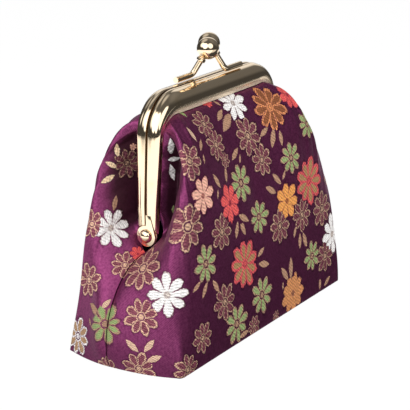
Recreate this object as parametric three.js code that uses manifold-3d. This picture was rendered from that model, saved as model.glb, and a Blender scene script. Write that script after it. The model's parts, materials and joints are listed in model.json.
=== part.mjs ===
// Kiss-lock clasp purse: a boxed brocade bag gathered into a hinged gilt channel frame.
// Millimetres, +Z up, front towards -Y, origin at the middle of the base on the table.
import * as THREE from 'three';
import { mergeVertices } from 'three/addons/utils/BufferGeometryUtils.js';
import Module from 'manifold-3d';

const wasm = await Module();
wasm.setup();

// Frame: two bent channels, open towards the bag
const FRAME_WIDTH = 80;
const FRAME_TOP = 94.5;
const CORNER_RADIUS = 14.5;
const LEG_SPLAY = 2.5;
const SHEET_METAL = 0.5;
const HALF_GAP = 0.15;
const LEG_DEPTH = 3.0;
const CORNER_DEPTH = 3.4;
const BAR_DEPTH = 8.0;
const LEG_THICKNESS = 4.2;
const CORNER_THICKNESS = 5.2;
const BAR_THICKNESS = 6.2;
const SEAM_EDGE = 0.4;
const LEAST_FLAT = 0.05;
const LEG_SHOULDER = 2.1;
const BAR_SHOULDER = 4.2;
const LIP_HEIGHT = 0.8;
const LEG_LIP = 0.2;
const BAR_LIP = 0.6;

// Hinges: a round ear at the foot of each leg, the front ear outside the rear one
const PIVOT_HEIGHT = 43.8;
const EAR_RADIUS = 4.0;
const EAR_PLATE = 0.8;
const EAR_NECK = 4.0;
const CUT_MARGIN = 1;
const HINGE_CLEARANCE = 0.25;
const EAR_SWEEP_CLEARANCE = 0.3;
const RIVET_RADIUS = 1.2;
const RIVET_FIT = 0.1;
const RIVET_HEAD_RADIUS = 2.55;
const RIVET_HEAD_HEIGHT = 1.8;
const RIVET_TAIL_RADIUS = 1.9;
const RIVET_TAIL_TIP = 1.5;
const RIVET_TAIL_HEIGHT = 0.7;
const RIVET_SEAT = 0.12;

// Ball clasp: a bent rod on each half, crossed so that the balls snap past each other
const BALL_RADIUS = 4.1;
const BALL_PASS = 0.1;
const BALL_OFFSET = 2.5;
const BALL_RISE = 11;
const ROD_RADIUS = 0.9;
const ROD_SEAT = 0.1;
const FOOT_OUTER = 18;
const FOOT_INNER = 7.2;
const FOOT_OFFSET = 2.6;
const ROD_BEND = 1.6;
const SOCKET_DEPTH = 2.2;
const SOCKET_FIT = 0.15;
const COLLAR_RADIUS = 1.5;
const COLLAR_FOOT = 0.05;
const COLLAR_LENGTH = 1.4;

// Bag: boxed base, short ends bowed out, side seams swaying back from the middle
const BASE_LENGTH = 116.5;
const BASE_WIDTH = 50.8;
const END_BOW = 4.5;
const SIDE_TUCK = 0.4;
const BASE_CORNER = 2.5;
const CORNER_EASE = 0.3;
const SEAM_GAP = 0.2;
const BROCADE = 0.6;
const LINING = 0.35;
const LAYER_GAP = 0.2;
const CLOTH_FIT = 0.2;
const EAR_CLEARANCE = 0.8;
const EAR_HOLLOW = 1.5;
const SEAM_HEAD_OUT = 0.5;
const SEAM_HEAD_DROP = 2.2;
const SEAM_FULLNESS = 1.5;
const FRONT_FULLNESS = 1.75;
const REAR_FULLNESS = 1.3;
const REAR_FLARE = 0.4;
const CHEEK = 9.0;
const CHEEK_PLACE = 0.37;
const CHEEK_SPREAD = 0.42;
const CHEEK_PEAK = 0.325;
const CHEEK_SIDEWAYS = 0.6;
const CHEEK_FORWARD = 0.8;
const SWELL = 1.5;
const SWELL_START = 0.3;
const SWELL_RUN = 0.5;
const BELLY = 3.2;
const BELLY_SPREAD = 0.16;
const BELLY_PEAK = 4 / 27;
const VALLEY = 4.2;
const VALLEY_START = 0.4;
const VALLEY_FADE = 0.2;
const VALLEY_REACH = 0.19;
const SEAM_DRAW = 0.9;
const SEAM_DRAW_SPREAD = 0.035;
const SEAM_DRIFT = 2.6;
const SEAM_DRIFT_SPREAD = 0.12;
const SEAM_SWAY = 1.5;
const GATHERS = 6;
const GATHER_DEPTH = 0.7;
const GATHER_REACH = 0.26;
const TUCK_RUN = 3;
const SHARPEST_MITRE = 0.65;

// Packing cord that wedges the cloth into each channel
const CORD_FIT = 0.15;
const CORD_SIDES = 6;
const CORD_END = 1.5;

// Smoothness of the solids
const CORNER_STEPS = 9;
const LEG_STEPS = 3;
const SHOULDER_STEPS = 4;
const EDGE_COLUMNS = 3;
const TOP_COLUMNS = 3;
const LINING_COLUMNS = 6;
const WALL_ROWS = 9;
const ROW_CROWDING = 1.3;
const BASE_ROWS = 1;
const ROUND = 14;
const DOME_STEPS = 5;
const ROD_STEPS = 12;
const ROD_SIDES = 10;
const BALL_SIDES = 16;
const BALL_RINGS = 10;
const SAME_PLACE = 1e-5;
const WELD = 1e-4;

const FRONT = -1;
const REAR = 1;

const lerp = THREE.MathUtils.lerp;
const smooth = (value) => THREE.MathUtils.smoothstep(value, 0, 1);
const bump = (value, centre, spread) => Math.exp(-(((value - centre) / spread) ** 2));
const fold = (value, reach) => (value / reach) * Math.exp(1 - value / reach);
const vector = (x, y, z) => new THREE.Vector3(x, y, z);

// Closed geometry from corner triples: slivers dropped, faces turned outwards
function closedGeometry(triangles) {
  const kept = triangles.filter(([a, b, c]) => {
    const apart = Math.min(a.distanceTo(b), b.distanceTo(c), c.distanceTo(a));
    return apart > SAME_PLACE;
  });
  const volume = kept.reduce((sum, [a, b, c]) => sum + a.dot(b.clone().cross(c)), 0);
  const turned = volume < 0 ? kept.map(([a, b, c]) => [a, c, b]) : kept;
  const geometry = new THREE.BufferGeometry().setFromPoints(turned.flat());
  return mergeVertices(geometry, SAME_PLACE);
}

function quad(a, b, c, d) {
  return [[a, b, c], [a, c, d]];
}

// Solid skin through rings of equal length, with its two ends capped
function loft(rings, outline) {
  const triangles = [];
  for (let i = 0; i + 1 < rings.length; i += 1) {
    const ring = rings[i];
    const next = rings[i + 1];
    for (let j = 0; j < ring.length; j += 1) {
      const k = (j + 1) % ring.length;
      triangles.push(...quad(ring[j], ring[k], next[k], next[j]));
    }
  }
  const first = rings[0];
  const last = rings[rings.length - 1];
  const [start, end] = THREE.ShapeUtils.isClockWise(outline) ? [last, first] : [first, last];
  for (const [a, b, c] of THREE.ShapeUtils.triangulateShape(outline, [])) {
    triangles.push([start[c], start[b], start[a]], [end[a], end[b], end[c]]);
  }
  return closedGeometry(triangles);
}

function toSolid(geometry) {
  const bare = geometry.clone();
  bare.deleteAttribute('normal');
  bare.deleteAttribute('uv');
  const merged = mergeVertices(bare, WELD);
  return new wasm.Manifold(new wasm.Mesh({
    numProp: 3,
    vertProperties: new Float32Array(merged.attributes.position.array),
    triVerts: new Uint32Array(merged.index.array),
  }));
}

function toGeometry(solid) {
  const mesh = solid.getMesh();
  const geometry = new THREE.BufferGeometry();
  geometry.setAttribute('position', new THREE.BufferAttribute(mesh.vertProperties, 3));
  geometry.setIndex(new THREE.BufferAttribute(mesh.triVerts, 1));
  return geometry;
}

// Frame rail: the outer outline of one half, from the leg's foot to the middle of the top bar
const HALF_WIDTH = FRAME_WIDTH / 2;
const HINGE_X = HALF_WIDTH + LEG_SPLAY;
const CORNER_Z = FRAME_TOP - CORNER_RADIUS;
const LEG_FOOT = PIVOT_HEIGHT;
const LEG_LENGTH = CORNER_Z - LEG_FOOT;
const CORNER_LENGTH = CORNER_RADIUS * Math.PI / 2;
const BAR_LENGTH = HALF_WIDTH - CORNER_RADIUS;
const RAIL_LENGTH = LEG_LENGTH + CORNER_LENGTH + BAR_LENGTH;
const NECK_LENGTH = EAR_RADIUS + EAR_NECK;
const CLOTH_START = NECK_LENGTH + EAR_CLEARANCE;

function rail(length) {
  const leg = THREE.MathUtils.clamp(length / LEG_LENGTH, 0, 1);
  const turn = THREE.MathUtils.clamp((length - LEG_LENGTH) / CORNER_LENGTH, 0, 1);
  const along = Math.max(0, length - LEG_LENGTH - CORNER_LENGTH);
  const angle = turn * Math.PI / 2;
  const grow = smooth(turn);
  const splay = LEG_SPLAY * (1 - smooth((length - NECK_LENGTH) / (LEG_LENGTH - NECK_LENGTH)));
  const depth = lerp(lerp(LEG_DEPTH, CORNER_DEPTH, leg), BAR_DEPTH, grow);
  const thickness = lerp(lerp(LEG_THICKNESS, CORNER_THICKNESS, leg), BAR_THICKNESS, grow);
  const roundest = Math.min(depth - LIP_HEIGHT, thickness - HALF_GAP - SEAM_EDGE) - LEAST_FLAT;
  return {
    x: HALF_WIDTH + splay - CORNER_RADIUS * (1 - Math.cos(angle)) - along,
    z: LEG_FOOT + LEG_LENGTH * leg + CORNER_RADIUS * Math.sin(angle),
    inX: -Math.cos(angle),
    inZ: -Math.sin(angle),
    depth,
    thickness,
    shoulder: Math.min(lerp(LEG_SHOULDER, BAR_SHOULDER, grow), roundest),
    lip: lerp(LEG_LIP, BAR_LIP, grow),
  };
}

// Stations along the whole rail, near leg to far leg
function railStations(start, legSteps, cornerSteps) {
  const half = [];
  for (let i = 0; i < legSteps; i += 1) {
    half.push(lerp(start, LEG_LENGTH, i / legSteps));
  }
  for (let i = 0; i <= cornerSteps; i += 1) {
    half.push(LEG_LENGTH + CORNER_LENGTH * i / cornerSteps);
  }
  const near = half.map((length) => ({ ...rail(length), hand: -1 }));
  const far = half.map((length) => ({ ...rail(length), hand: 1 })).reverse();
  return [...near, ...far];
}

// A point `deep` inside the outline and `out` from the plane between the halves
function railPoint(station, deep, out, side) {
  const x = station.x + station.inX * deep;
  return vector(station.hand * x, side * out, station.z + station.inZ * deep);
}

// Channel section: inner wall, top wall with a rolled shoulder, front wall with a turned-in lip
function channelSection({ depth, thickness, shoulder, lip }) {
  const inner = HALF_GAP + SHEET_METAL;
  const outer = [
    [depth, HALF_GAP],
    [SEAM_EDGE, HALF_GAP],
    [0, HALF_GAP + SEAM_EDGE],
  ];
  const inside = [
    [depth, inner],
    [SHEET_METAL, inner],
  ];
  for (let i = 0; i <= SHOULDER_STEPS; i += 1) {
    const angle = (i / SHOULDER_STEPS) * Math.PI / 2;
    const back = 1 - Math.cos(angle);
    const rise = 1 - Math.sin(angle);
    const bend = shoulder - SHEET_METAL;
    outer.push([shoulder * back, thickness - shoulder * rise]);
    inside.push([SHEET_METAL + bend * back, thickness - SHEET_METAL - bend * rise]);
  }
  outer.push([depth - LIP_HEIGHT, thickness], [depth, thickness - lip]);
  inside.push([depth - LIP_HEIGHT, thickness - SHEET_METAL], [depth, thickness - lip - SHEET_METAL]);
  return [...outer, ...inside.reverse()];
}

function channel(side) {
  const stations = railStations(0, LEG_STEPS, CORNER_STEPS);
  const rings = stations.map((station) => (
    channelSection(station).map(([deep, out]) => railPoint(station, deep, out, side))
  ));
  const outline = channelSection(stations[0]).map(([deep, out]) => new THREE.Vector2(deep, out));
  return loft(rings, outline);
}

// Cylinder lying along X about the pivot, between two distances from the middle
function pivotCylinder(radius, from, to, hand) {
  const geometry = new THREE.CylinderGeometry(radius, radius, to - from, 2 * ROUND);
  geometry.rotateZ(Math.PI / 2);
  geometry.translate(hand * (from + to) / 2, 0, PIVOT_HEIGHT);
  return geometry;
}

// Flat ear with its neck running up into the channel
function ear(side, hand, outerFace) {
  const shape = new THREE.Shape();
  shape.moveTo(HALF_GAP, NECK_LENGTH);
  shape.lineTo(HALF_GAP, EAR_RADIUS);
  shape.absarc(0, 0, EAR_RADIUS, Math.PI / 2, 2 * Math.PI, false);
  shape.lineTo(LEG_THICKNESS - LEG_SHOULDER, NECK_LENGTH);
  shape.closePath();
  const plate = new THREE.ExtrudeGeometry(shape, {
    depth: EAR_PLATE,
    bevelEnabled: false,
    curveSegments: ROUND,
  });
  const place = new THREE.Matrix4().makeBasis(
    vector(0, side, 0),
    vector(0, 0, 1),
    vector(side, 0, 0),
  );
  plate.applyMatrix4(place);
  const inset = side === hand ? EAR_PLATE : 0;
  plate.translate(hand * (outerFace - inset), 0, PIVOT_HEIGHT);
  return plate;
}

const FRONT_EAR_FACE = HINGE_X;
const REAR_EAR_FACE = HINGE_X - EAR_PLATE - HINGE_CLEARANCE;

function frameHalf(side) {
  let half = toSolid(channel(side));
  const outerFace = side === FRONT ? FRONT_EAR_FACE : REAR_EAR_FACE;
  const from = HINGE_X - LEG_DEPTH - CUT_MARGIN;
  const to = HINGE_X + CUT_MARGIN;
  for (const hand of [-1, 1]) {
    const sweep = pivotCylinder(EAR_RADIUS + EAR_SWEEP_CLEARANCE, from, to, hand);
    const hole = pivotCylinder(RIVET_RADIUS + RIVET_FIT, from, to, hand);
    half = half.subtract(toSolid(sweep));
    half = half.add(toSolid(ear(side, hand, outerFace)));
    half = half.subtract(toSolid(hole));
  }
  return toGeometry(half);
}

// Rivet turned about X: domed head outside, set tail inside
function rivet(hand) {
  const head = FRONT_EAR_FACE + RIVET_SEAT;
  const tail = REAR_EAR_FACE - EAR_PLATE - RIVET_SEAT;
  const profile = [
    new THREE.Vector2(0, tail - RIVET_TAIL_HEIGHT),
    new THREE.Vector2(RIVET_TAIL_TIP, tail - RIVET_TAIL_HEIGHT),
    new THREE.Vector2(RIVET_TAIL_RADIUS, tail),
    new THREE.Vector2(RIVET_RADIUS, tail),
    new THREE.Vector2(RIVET_RADIUS, head),
    new THREE.Vector2(RIVET_HEAD_RADIUS, head),
  ];
  for (let i = 1; i <= DOME_STEPS; i += 1) {
    const angle = (i / DOME_STEPS) * Math.PI / 2;
    const radius = i === DOME_STEPS ? 0 : RIVET_HEAD_RADIUS * Math.cos(angle);
    profile.push(new THREE.Vector2(radius, head + RIVET_HEAD_HEIGHT * Math.sin(angle)));
  }
  const geometry = new THREE.LatheGeometry(profile, ROUND);
  geometry.rotateZ(-hand * Math.PI / 2);
  geometry.translate(0, 0, PIVOT_HEIGHT);
  return geometry;
}

// Clasp: the front half carries the ball at +X, the rear half the one at -X
function claspPoints(side) {
  const hand = -side;
  const footZ = FRAME_TOP + ROD_RADIUS + ROD_SEAT;
  const ball = vector(hand * (BALL_RADIUS + BALL_PASS), -side * BALL_OFFSET, FRAME_TOP + BALL_RISE);
  const knee = vector(hand * FOOT_INNER, side * FOOT_OFFSET, footZ);
  const toe = vector(hand * FOOT_OUTER, side * FOOT_OFFSET, footZ);
  return { ball, knee, toe, axis: ball.clone().sub(knee).normalize() };
}

function alongAxis(geometry, start, axis) {
  const turn = new THREE.Quaternion().setFromUnitVectors(vector(0, 1, 0), axis);
  geometry.applyQuaternion(turn);
  geometry.translate(start.x, start.y, start.z);
  return geometry;
}

function claspStem(side) {
  const { ball, knee, toe, axis } = claspPoints(side);
  const tip = ball.clone().addScaledVector(axis, -BALL_RADIUS + SOCKET_DEPTH);
  const inner = toe.clone().sub(knee).normalize();
  const bendStart = knee.clone().addScaledVector(inner, ROD_BEND);
  const bendEnd = knee.clone().addScaledVector(axis, ROD_BEND);
  const path = new THREE.CurvePath();
  path.add(new THREE.LineCurve3(toe, bendStart));
  path.add(new THREE.QuadraticBezierCurve3(bendStart, knee, bendEnd));
  path.add(new THREE.LineCurve3(bendEnd, tip));
  const section = new THREE.Shape().absarc(0, 0, ROD_RADIUS, 0, 2 * Math.PI, false);
  const rod = new THREE.ExtrudeGeometry(section, {
    steps: ROD_STEPS,
    curveSegments: ROD_SIDES / 2,
    bevelEnabled: false,
    extrudePath: path,
  });
  const collarEnd = ball.clone().addScaledVector(axis, -BALL_RADIUS - SOCKET_FIT);
  const collarStart = collarEnd.clone().addScaledVector(axis, -COLLAR_LENGTH);
  const collar = new THREE.CylinderGeometry(COLLAR_RADIUS, ROD_RADIUS + COLLAR_FOOT, COLLAR_LENGTH, ROUND);
  collar.translate(0, COLLAR_LENGTH / 2, 0);
  return toGeometry(toSolid(rod).add(toSolid(alongAxis(collar, collarStart, axis))));
}

function claspBall(side) {
  const { ball, axis } = claspPoints(side);
  const sphere = new THREE.SphereGeometry(BALL_RADIUS, BALL_SIDES, BALL_RINGS);
  const bore = ROD_RADIUS + SOCKET_FIT;
  const socket = new THREE.CylinderGeometry(bore, bore, 2 * (SOCKET_DEPTH + SOCKET_FIT), ROUND);
  const mouth = ball.clone().addScaledVector(axis, -BALL_RADIUS);
  sphere.translate(ball.x, ball.y, ball.z);
  return toGeometry(toSolid(sphere).subtract(toSolid(alongAxis(socket, mouth, axis))));
}

// Cloth edge: round the ear from the side seam's head to the leg, then along the channel's mouth
const SEAM_HEAD = vector(HINGE_X + SEAM_HEAD_OUT, SEAM_GAP, PIVOT_HEIGHT - EAR_RADIUS - SEAM_HEAD_DROP);
const CLOTH_LEG = clothAtRail(CLOTH_START);
const EDGE_CURVE = new THREE.QuadraticBezierCurve3(
  SEAM_HEAD,
  vector(HINGE_X - LEG_DEPTH - EAR_HOLLOW, 2 * (EAR_RADIUS + EAR_CLEARANCE), PIVOT_HEIGHT),
  CLOTH_LEG.point,
);
const EDGE_LENGTH = EDGE_CURVE.getLength();
const MOUTH_LENGTH = EDGE_LENGTH + RAIL_LENGTH - CLOTH_START;
const EDGE_SHARE = EDGE_LENGTH / MOUTH_LENGTH;
const CORNER_SHARE = (EDGE_LENGTH + LEG_LENGTH - CLOTH_START) / MOUTH_LENGTH;
const BAR_SHARE = 1 - BAR_LENGTH / MOUTH_LENGTH;

function clothAtRail(length) {
  const station = rail(length);
  const deep = station.depth + CLOTH_FIT;
  return {
    point: vector(
      station.x + station.inX * deep,
      station.thickness - station.lip - SHEET_METAL - CLOTH_FIT,
      station.z + station.inZ * deep,
    ),
    inX: station.inX,
    inZ: station.inZ,
    tuck: (deep - station.shoulder) * smooth((length - CLOTH_START) / TUCK_RUN),
  };
}

function clothEdge(share) {
  const length = share * MOUTH_LENGTH;
  if (share < EDGE_SHARE - SAME_PLACE) {
    return { point: EDGE_CURVE.getPointAt(length / EDGE_LENGTH), inX: -1, inZ: 0, tuck: 0 };
  }
  return clothAtRail(Math.min(RAIL_LENGTH, length - EDGE_LENGTH + CLOTH_START));
}

// Half outline of the base, from the side seam round the corner to the middle of the long side
const BASE_OUTLINE = new THREE.Path();
const END_X = BASE_LENGTH / 2;
const SIDE_Y = BASE_WIDTH / 2;
BASE_OUTLINE.moveTo(END_X + END_BOW, SEAM_GAP);
BASE_OUTLINE.quadraticCurveTo(END_X + END_BOW, SIDE_Y / 2, END_X + CORNER_EASE, SIDE_Y - BASE_CORNER);
BASE_OUTLINE.quadraticCurveTo(END_X, SIDE_Y, END_X - BASE_CORNER, SIDE_Y - CORNER_EASE);
BASE_OUTLINE.quadraticCurveTo(END_X / 2, SIDE_Y - SIDE_TUCK, 0, SIDE_Y - SIDE_TUCK);

// How far a thread has come from the frame to the base: both sides alike at the seam
function clothReach(share, angle, side) {
  const turn = smooth(share / EDGE_SHARE);
  const fullness = lerp(SEAM_FULLNESS, side === FRONT ? FRONT_FULLNESS : REAR_FULLNESS, turn);
  const flare = side === REAR ? REAR_FLARE * turn : 0;
  return lerp(Math.sin(angle) ** fullness, 1 - Math.cos(angle), flare);
}

// Cloth surface: each thread runs in a full curve from the frame to the base
function clothPoint(share, angle, side, gatherDepth) {
  const edge = clothEdge(share);
  const foot = BASE_OUTLINE.getPointAt(share);
  const out = clothReach(share, angle, side);
  const leave = Math.sin(angle);
  const rise = Math.cos(angle);
  const puff = leave * rise ** 3 / CHEEK_PEAK;
  const cheek = CHEEK * bump(share, CHEEK_PLACE, CHEEK_SPREAD) * puff;
  const swell = SWELL * smooth((share - SWELL_START) / SWELL_RUN) * puff;
  const belly = BELLY * bump(share, 0, BELLY_SPREAD) * rise * (1 - rise) ** 2 / BELLY_PEAK;
  const draw = SEAM_DRAW * bump(share, 0, SEAM_DRAW_SPREAD) * Math.sin(2 * angle);
  const valley = VALLEY * besideLeg(share) * fold(leave, VALLEY_REACH);
  const ripple = gatherDepth * gathering(share) * fold(leave, GATHER_REACH);
  const reach = new THREE.Vector2(foot.x - edge.point.x, foot.y - edge.point.y).normalize();
  const sideways = cheek * CHEEK_SIDEWAYS + belly - draw + edge.inX * valley;
  const forward = cheek * CHEEK_FORWARD * smooth(share / EDGE_SHARE) + swell;
  return vector(
    lerp(edge.point.x, foot.x, out) + sideways + reach.x * ripple,
    lerp(edge.point.y, foot.y, out) + forward + reach.y * ripple,
    edge.point.z * rise + edge.inZ * valley,
  );
}

// How far the cloth sinks into the valley beside a leg: full on the leg, fading round the corner
function besideLeg(share) {
  const start = smooth((share / EDGE_SHARE - VALLEY_START) / (1 - VALLEY_START));
  return start * (1 - smooth((share - CORNER_SHARE) / VALLEY_FADE));
}

// Gathers between the foot of a leg and the bar, deepest at the corner
function gathering(share) {
  const turns = (share - EDGE_SHARE) / (BAR_SHARE - EDGE_SHARE);
  const depth = turns > 0 && turns < 1 ? Math.sin(Math.PI * turns) : 0;
  return depth * Math.cos(2 * Math.PI * GATHERS * turns);
}

// Columns of the cloth grid from one side seam to the other, as shares of the half edge
function clothColumns(edgeCount, gatherCount, topCount) {
  const half = [];
  for (let i = 0; i < edgeCount; i += 1) {
    half.push({ share: EDGE_SHARE * i / edgeCount, hand: -1 });
  }
  for (let i = 0; i < gatherCount; i += 1) {
    half.push({ share: lerp(EDGE_SHARE, BAR_SHARE, i / gatherCount), hand: -1 });
  }
  for (let i = 0; i < topCount; i += 1) {
    half.push({ share: lerp(BAR_SHARE, 1, i / topCount), hand: -1 });
  }
  const other = half.map(({ share }) => ({ share, hand: 1 })).reverse();
  return [...half, { share: 1, hand: 1 }, ...other];
}

// Place of a wall row on its curve, from 0 at the frame to a quarter turn at the base
function wallAngle(row) {
  const share = THREE.MathUtils.clamp(row / WALL_ROWS, 0, 1);
  return share ** ROW_CROWDING * Math.PI / 2;
}

// Rows of cloth: tucked into the channel, down the wall, and under the base to its middle seam
function clothGrid(side, columns, gatherDepth) {
  const place = (point, hand) => vector(hand * point.x, side * point.y, point.z);
  const rows = [];
  rows.push(columns.map(({ share, hand }) => {
    const { point, inX, inZ, tuck } = clothEdge(share);
    return place(vector(point.x - inX * tuck, point.y, point.z - inZ * tuck), hand);
  }));
  for (let i = 0; i <= WALL_ROWS; i += 1) {
    rows.push(columns.map(({ share, hand }) => {
      const point = clothPoint(share, wallAngle(i), side, gatherDepth);
      return place(i === WALL_ROWS ? vector(point.x, point.y, 0) : point, hand);
    }));
  }
  for (let i = 1; i <= BASE_ROWS; i += 1) {
    rows.push(columns.map(({ share, hand }) => {
      const foot = BASE_OUTLINE.getPointAt(share);
      return place(vector(foot.x, lerp(foot.y, SEAM_GAP, i / BASE_ROWS), 0), hand);
    }));
  }
  return rows;
}

// The side seams sway back from the middle, and draw the cloth beside them along
function swayed(rows, columns) {
  return rows.map((row, i) => {
    const angle = wallAngle(i - 1);
    const sway = SEAM_DRIFT * Math.sin(angle) * (1 + SEAM_SWAY * Math.cos(angle));
    return row.map((point, j) => {
      const drift = sway * bump(columns[j].share, 0, SEAM_DRIFT_SPREAD);
      return vector(point.x, point.y + drift, point.z);
    });
  });
}

function gridTriangles(rows) {
  const triangles = [];
  for (let i = 0; i + 1 < rows.length; i += 1) {
    for (let j = 0; j + 1 < rows[i].length; j += 1) {
      triangles.push(...quad(rows[i][j], rows[i][j + 1], rows[i + 1][j + 1], rows[i + 1][j]));
    }
  }
  return triangles;
}

const placeKey = (point) => point.toArray().map((value) => Math.round(value / WELD)).join();

// Facings of the faces round each grid point, weighted by the angle that each face takes there
function cornerNormals(rows) {
  const corners = new Map();
  for (const [a, b, c] of gridTriangles(rows)) {
    const normal = b.clone().sub(a).cross(c.clone().sub(a));
    if (normal.length() > SAME_PLACE) {
      normal.normalize();
      for (const [point, left, right] of [[a, b, c], [b, c, a], [c, a, b]]) {
        const angle = left.clone().sub(point).angleTo(right.clone().sub(point));
        const key = placeKey(point);
        corners.set(key, [...(corners.get(key) ?? []), { normal, angle }]);
      }
    }
  }
  return corners;
}

// Grid set inwards by a depth for each row, with mitred corners so that folds keep their thickness
function insetGrid(rows, depths, side) {
  const corners = cornerNormals(rows);
  const inset = rows.map((row, i) => row.map((point) => {
    const facings = corners.get(placeKey(point));
    const mean = vector(0, 0, 0);
    facings.forEach(({ normal, angle }) => mean.addScaledVector(normal, angle));
    if (Math.abs(point.y - side * SEAM_GAP) < SAME_PLACE) {
      mean.y = 0;
    }
    mean.normalize();
    const least = Math.min(...facings.map(({ normal }) => normal.dot(mean)));
    return point.clone().addScaledVector(mean, -side * depths[i] / Math.max(SHARPEST_MITRE, least));
  }));
  const baseEdge = inset[rows.length - 1 - BASE_ROWS];
  inset.slice(-BASE_ROWS).forEach((row) => row.forEach((point, j) => point.setX(baseEdge[j].x)));
  return inset;
}

function sheet(outer, inner) {
  const triangles = [...gridTriangles(outer)];
  for (const [a, b, c] of gridTriangles(inner)) {
    triangles.push([a, c, b]);
  }
  const border = (rows) => [
    ...rows[0],
    ...rows.slice(1).map((row) => row[row.length - 1]),
    ...rows[rows.length - 1].slice(0, -1).reverse(),
    ...rows.slice(1, -1).map((row) => row[0]).reverse(),
  ];
  const outside = border(outer);
  const inside = border(inner);
  for (let i = 0; i < outside.length; i += 1) {
    const k = (i + 1) % outside.length;
    triangles.push(...quad(outside[i], inside[i], inside[k], outside[k]));
  }
  return closedGeometry(triangles);
}

function panel(side) {
  const columns = clothColumns(EDGE_COLUMNS, 2 * GATHERS, TOP_COLUMNS);
  const outer = clothGrid(side, columns, GATHER_DEPTH);
  const inner = insetGrid(outer, outer.map(() => BROCADE), side);
  return sheet(swayed(outer, columns), swayed(inner, columns));
}

function lining(side) {
  const columns = clothColumns(EDGE_COLUMNS, LINING_COLUMNS, TOP_COLUMNS);
  const face = clothGrid(side, columns, 0);
  const channelDepth = BROCADE + LAYER_GAP;
  const depths = face.map((row, i) => (i < 2 ? channelDepth : channelDepth + GATHER_DEPTH));
  const outer = insetGrid(face, depths, side);
  const inner = insetGrid(face, depths.map((depth) => depth + LINING), side);
  return sheet(swayed(outer, columns), swayed(inner, columns));
}

// Packing cord: fills what the cloth leaves of the channel
function packingCord(side) {
  const stations = railStations(CLOTH_START + CORD_END, LEG_STEPS, CORNER_STEPS);
  const wall = HALF_GAP + SHEET_METAL + CORD_FIT;
  const rings = stations.map((station) => {
    const cloth = station.thickness - station.lip - SHEET_METAL - CLOTH_FIT;
    const clear = cloth - BROCADE - LAYER_GAP - LINING - CORD_FIT - wall;
    const radius = clear / 2;
    const middle = SHEET_METAL + 2 * CORD_FIT + radius;
    const ring = [];
    for (let i = 0; i < CORD_SIDES; i += 1) {
      const angle = (i / CORD_SIDES) * 2 * Math.PI;
      const deep = middle + radius * Math.cos(angle);
      ring.push(railPoint(station, deep, wall + radius + radius * Math.sin(angle), side));
    }
    return ring;
  });
  const outline = rings[0].map((point) => new THREE.Vector2(point.x, point.y));
  return loft(rings, outline);
}

const GILT = { color: 0xe9d3a0, roughness: 0.16, metalness: 1 };
const BRASS = { color: 0xe3c27f, roughness: 0.2, metalness: 1 };
const PLUM_BROCADE = { color: 0x6b1f56, roughness: 0.62, metalness: 0 };
const PLUM_LINING = { color: 0x4a1d3d, roughness: 0.8, metalness: 0 };
const TWISTED_PAPER = { color: 0xd8c8a4, roughness: 0.9, metalness: 0 };

const purse = new THREE.Group();

function addPart(name, geometry, finish) {
  const mesh = new THREE.Mesh(geometry, new THREE.MeshStandardMaterial(finish));
  mesh.name = name;
  purse.add(mesh);
}

for (const [name, side] of [['front', FRONT], ['rear', REAR]]) {
  addPart(`${name}_frame`, frameHalf(side), GILT);
  addPart(`${name}_clasp_stem`, claspStem(side), GILT);
  addPart(`${name}_clasp_ball`, claspBall(side), GILT);
  addPart(`${name}_panel`, panel(side), PLUM_BROCADE);
  addPart(`${name}_lining`, lining(side), PLUM_LINING);
  addPart(`${name}_packing_cord`, packingCord(side), TWISTED_PAPER);
}
addPart('left_rivet', rivet(-1), BRASS);
addPart('right_rivet', rivet(1), BRASS);

export default purse;
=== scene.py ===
"""Clasp purse: a brocade bag gathered into a gilt ball-clasp frame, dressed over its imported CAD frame."""
import json
import logging
import math
from collections.abc import Callable
from dataclasses import dataclass
from enum import Enum
from typing import Any, Optional

import bmesh
import bpy
import numpy as np
from mathutils import Color, Matrix, Vector
from mathutils.bvhtree import BVHTree


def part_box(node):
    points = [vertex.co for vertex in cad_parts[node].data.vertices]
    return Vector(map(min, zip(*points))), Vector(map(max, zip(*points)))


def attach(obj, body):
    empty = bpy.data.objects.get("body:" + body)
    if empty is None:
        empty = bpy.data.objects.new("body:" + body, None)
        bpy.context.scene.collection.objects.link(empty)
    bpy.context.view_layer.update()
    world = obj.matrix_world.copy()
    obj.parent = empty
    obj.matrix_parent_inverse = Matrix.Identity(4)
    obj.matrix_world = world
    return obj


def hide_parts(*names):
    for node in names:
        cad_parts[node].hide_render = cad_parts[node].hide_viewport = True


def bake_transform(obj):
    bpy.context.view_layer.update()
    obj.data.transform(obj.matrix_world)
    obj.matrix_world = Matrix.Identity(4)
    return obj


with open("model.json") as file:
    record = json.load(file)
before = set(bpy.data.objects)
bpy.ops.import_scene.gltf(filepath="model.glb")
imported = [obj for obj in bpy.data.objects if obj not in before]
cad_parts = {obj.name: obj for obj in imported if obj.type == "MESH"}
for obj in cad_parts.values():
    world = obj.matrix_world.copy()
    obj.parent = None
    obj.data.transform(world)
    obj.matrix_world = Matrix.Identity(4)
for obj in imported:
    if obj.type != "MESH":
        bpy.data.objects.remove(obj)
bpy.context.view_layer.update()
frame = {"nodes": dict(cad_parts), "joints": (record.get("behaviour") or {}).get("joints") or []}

LOG = logging.getLogger("clasp_purse")
MM = 0.001
TINY = 1e-6
TAU = 2.0 * math.pi
QUARTER_TURN = 0.5 * math.pi
Colour = tuple[int, int, int]
Pair = tuple[float, float]
Triple = tuple[float, float, float]


class PursePlace(Enum):
    """A place on the purse whose name stands in the CAD node names."""

    @property
    def word(self) -> str:
        """The name as the nodes have it."""
        return self.name.lower()


class Side(PursePlace):
    """The two halves of the purse; the value is the half's direction along Y."""

    FRONT = -1
    REAR = 1

    @property
    def body(self) -> str:
        """The CAD body that carries the half's metal."""
        return f"{self.word}_half"


class Hand(PursePlace):
    """The two ends of the purse; the value is the end's direction along X."""

    LEFT = -1
    RIGHT = 1


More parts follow.
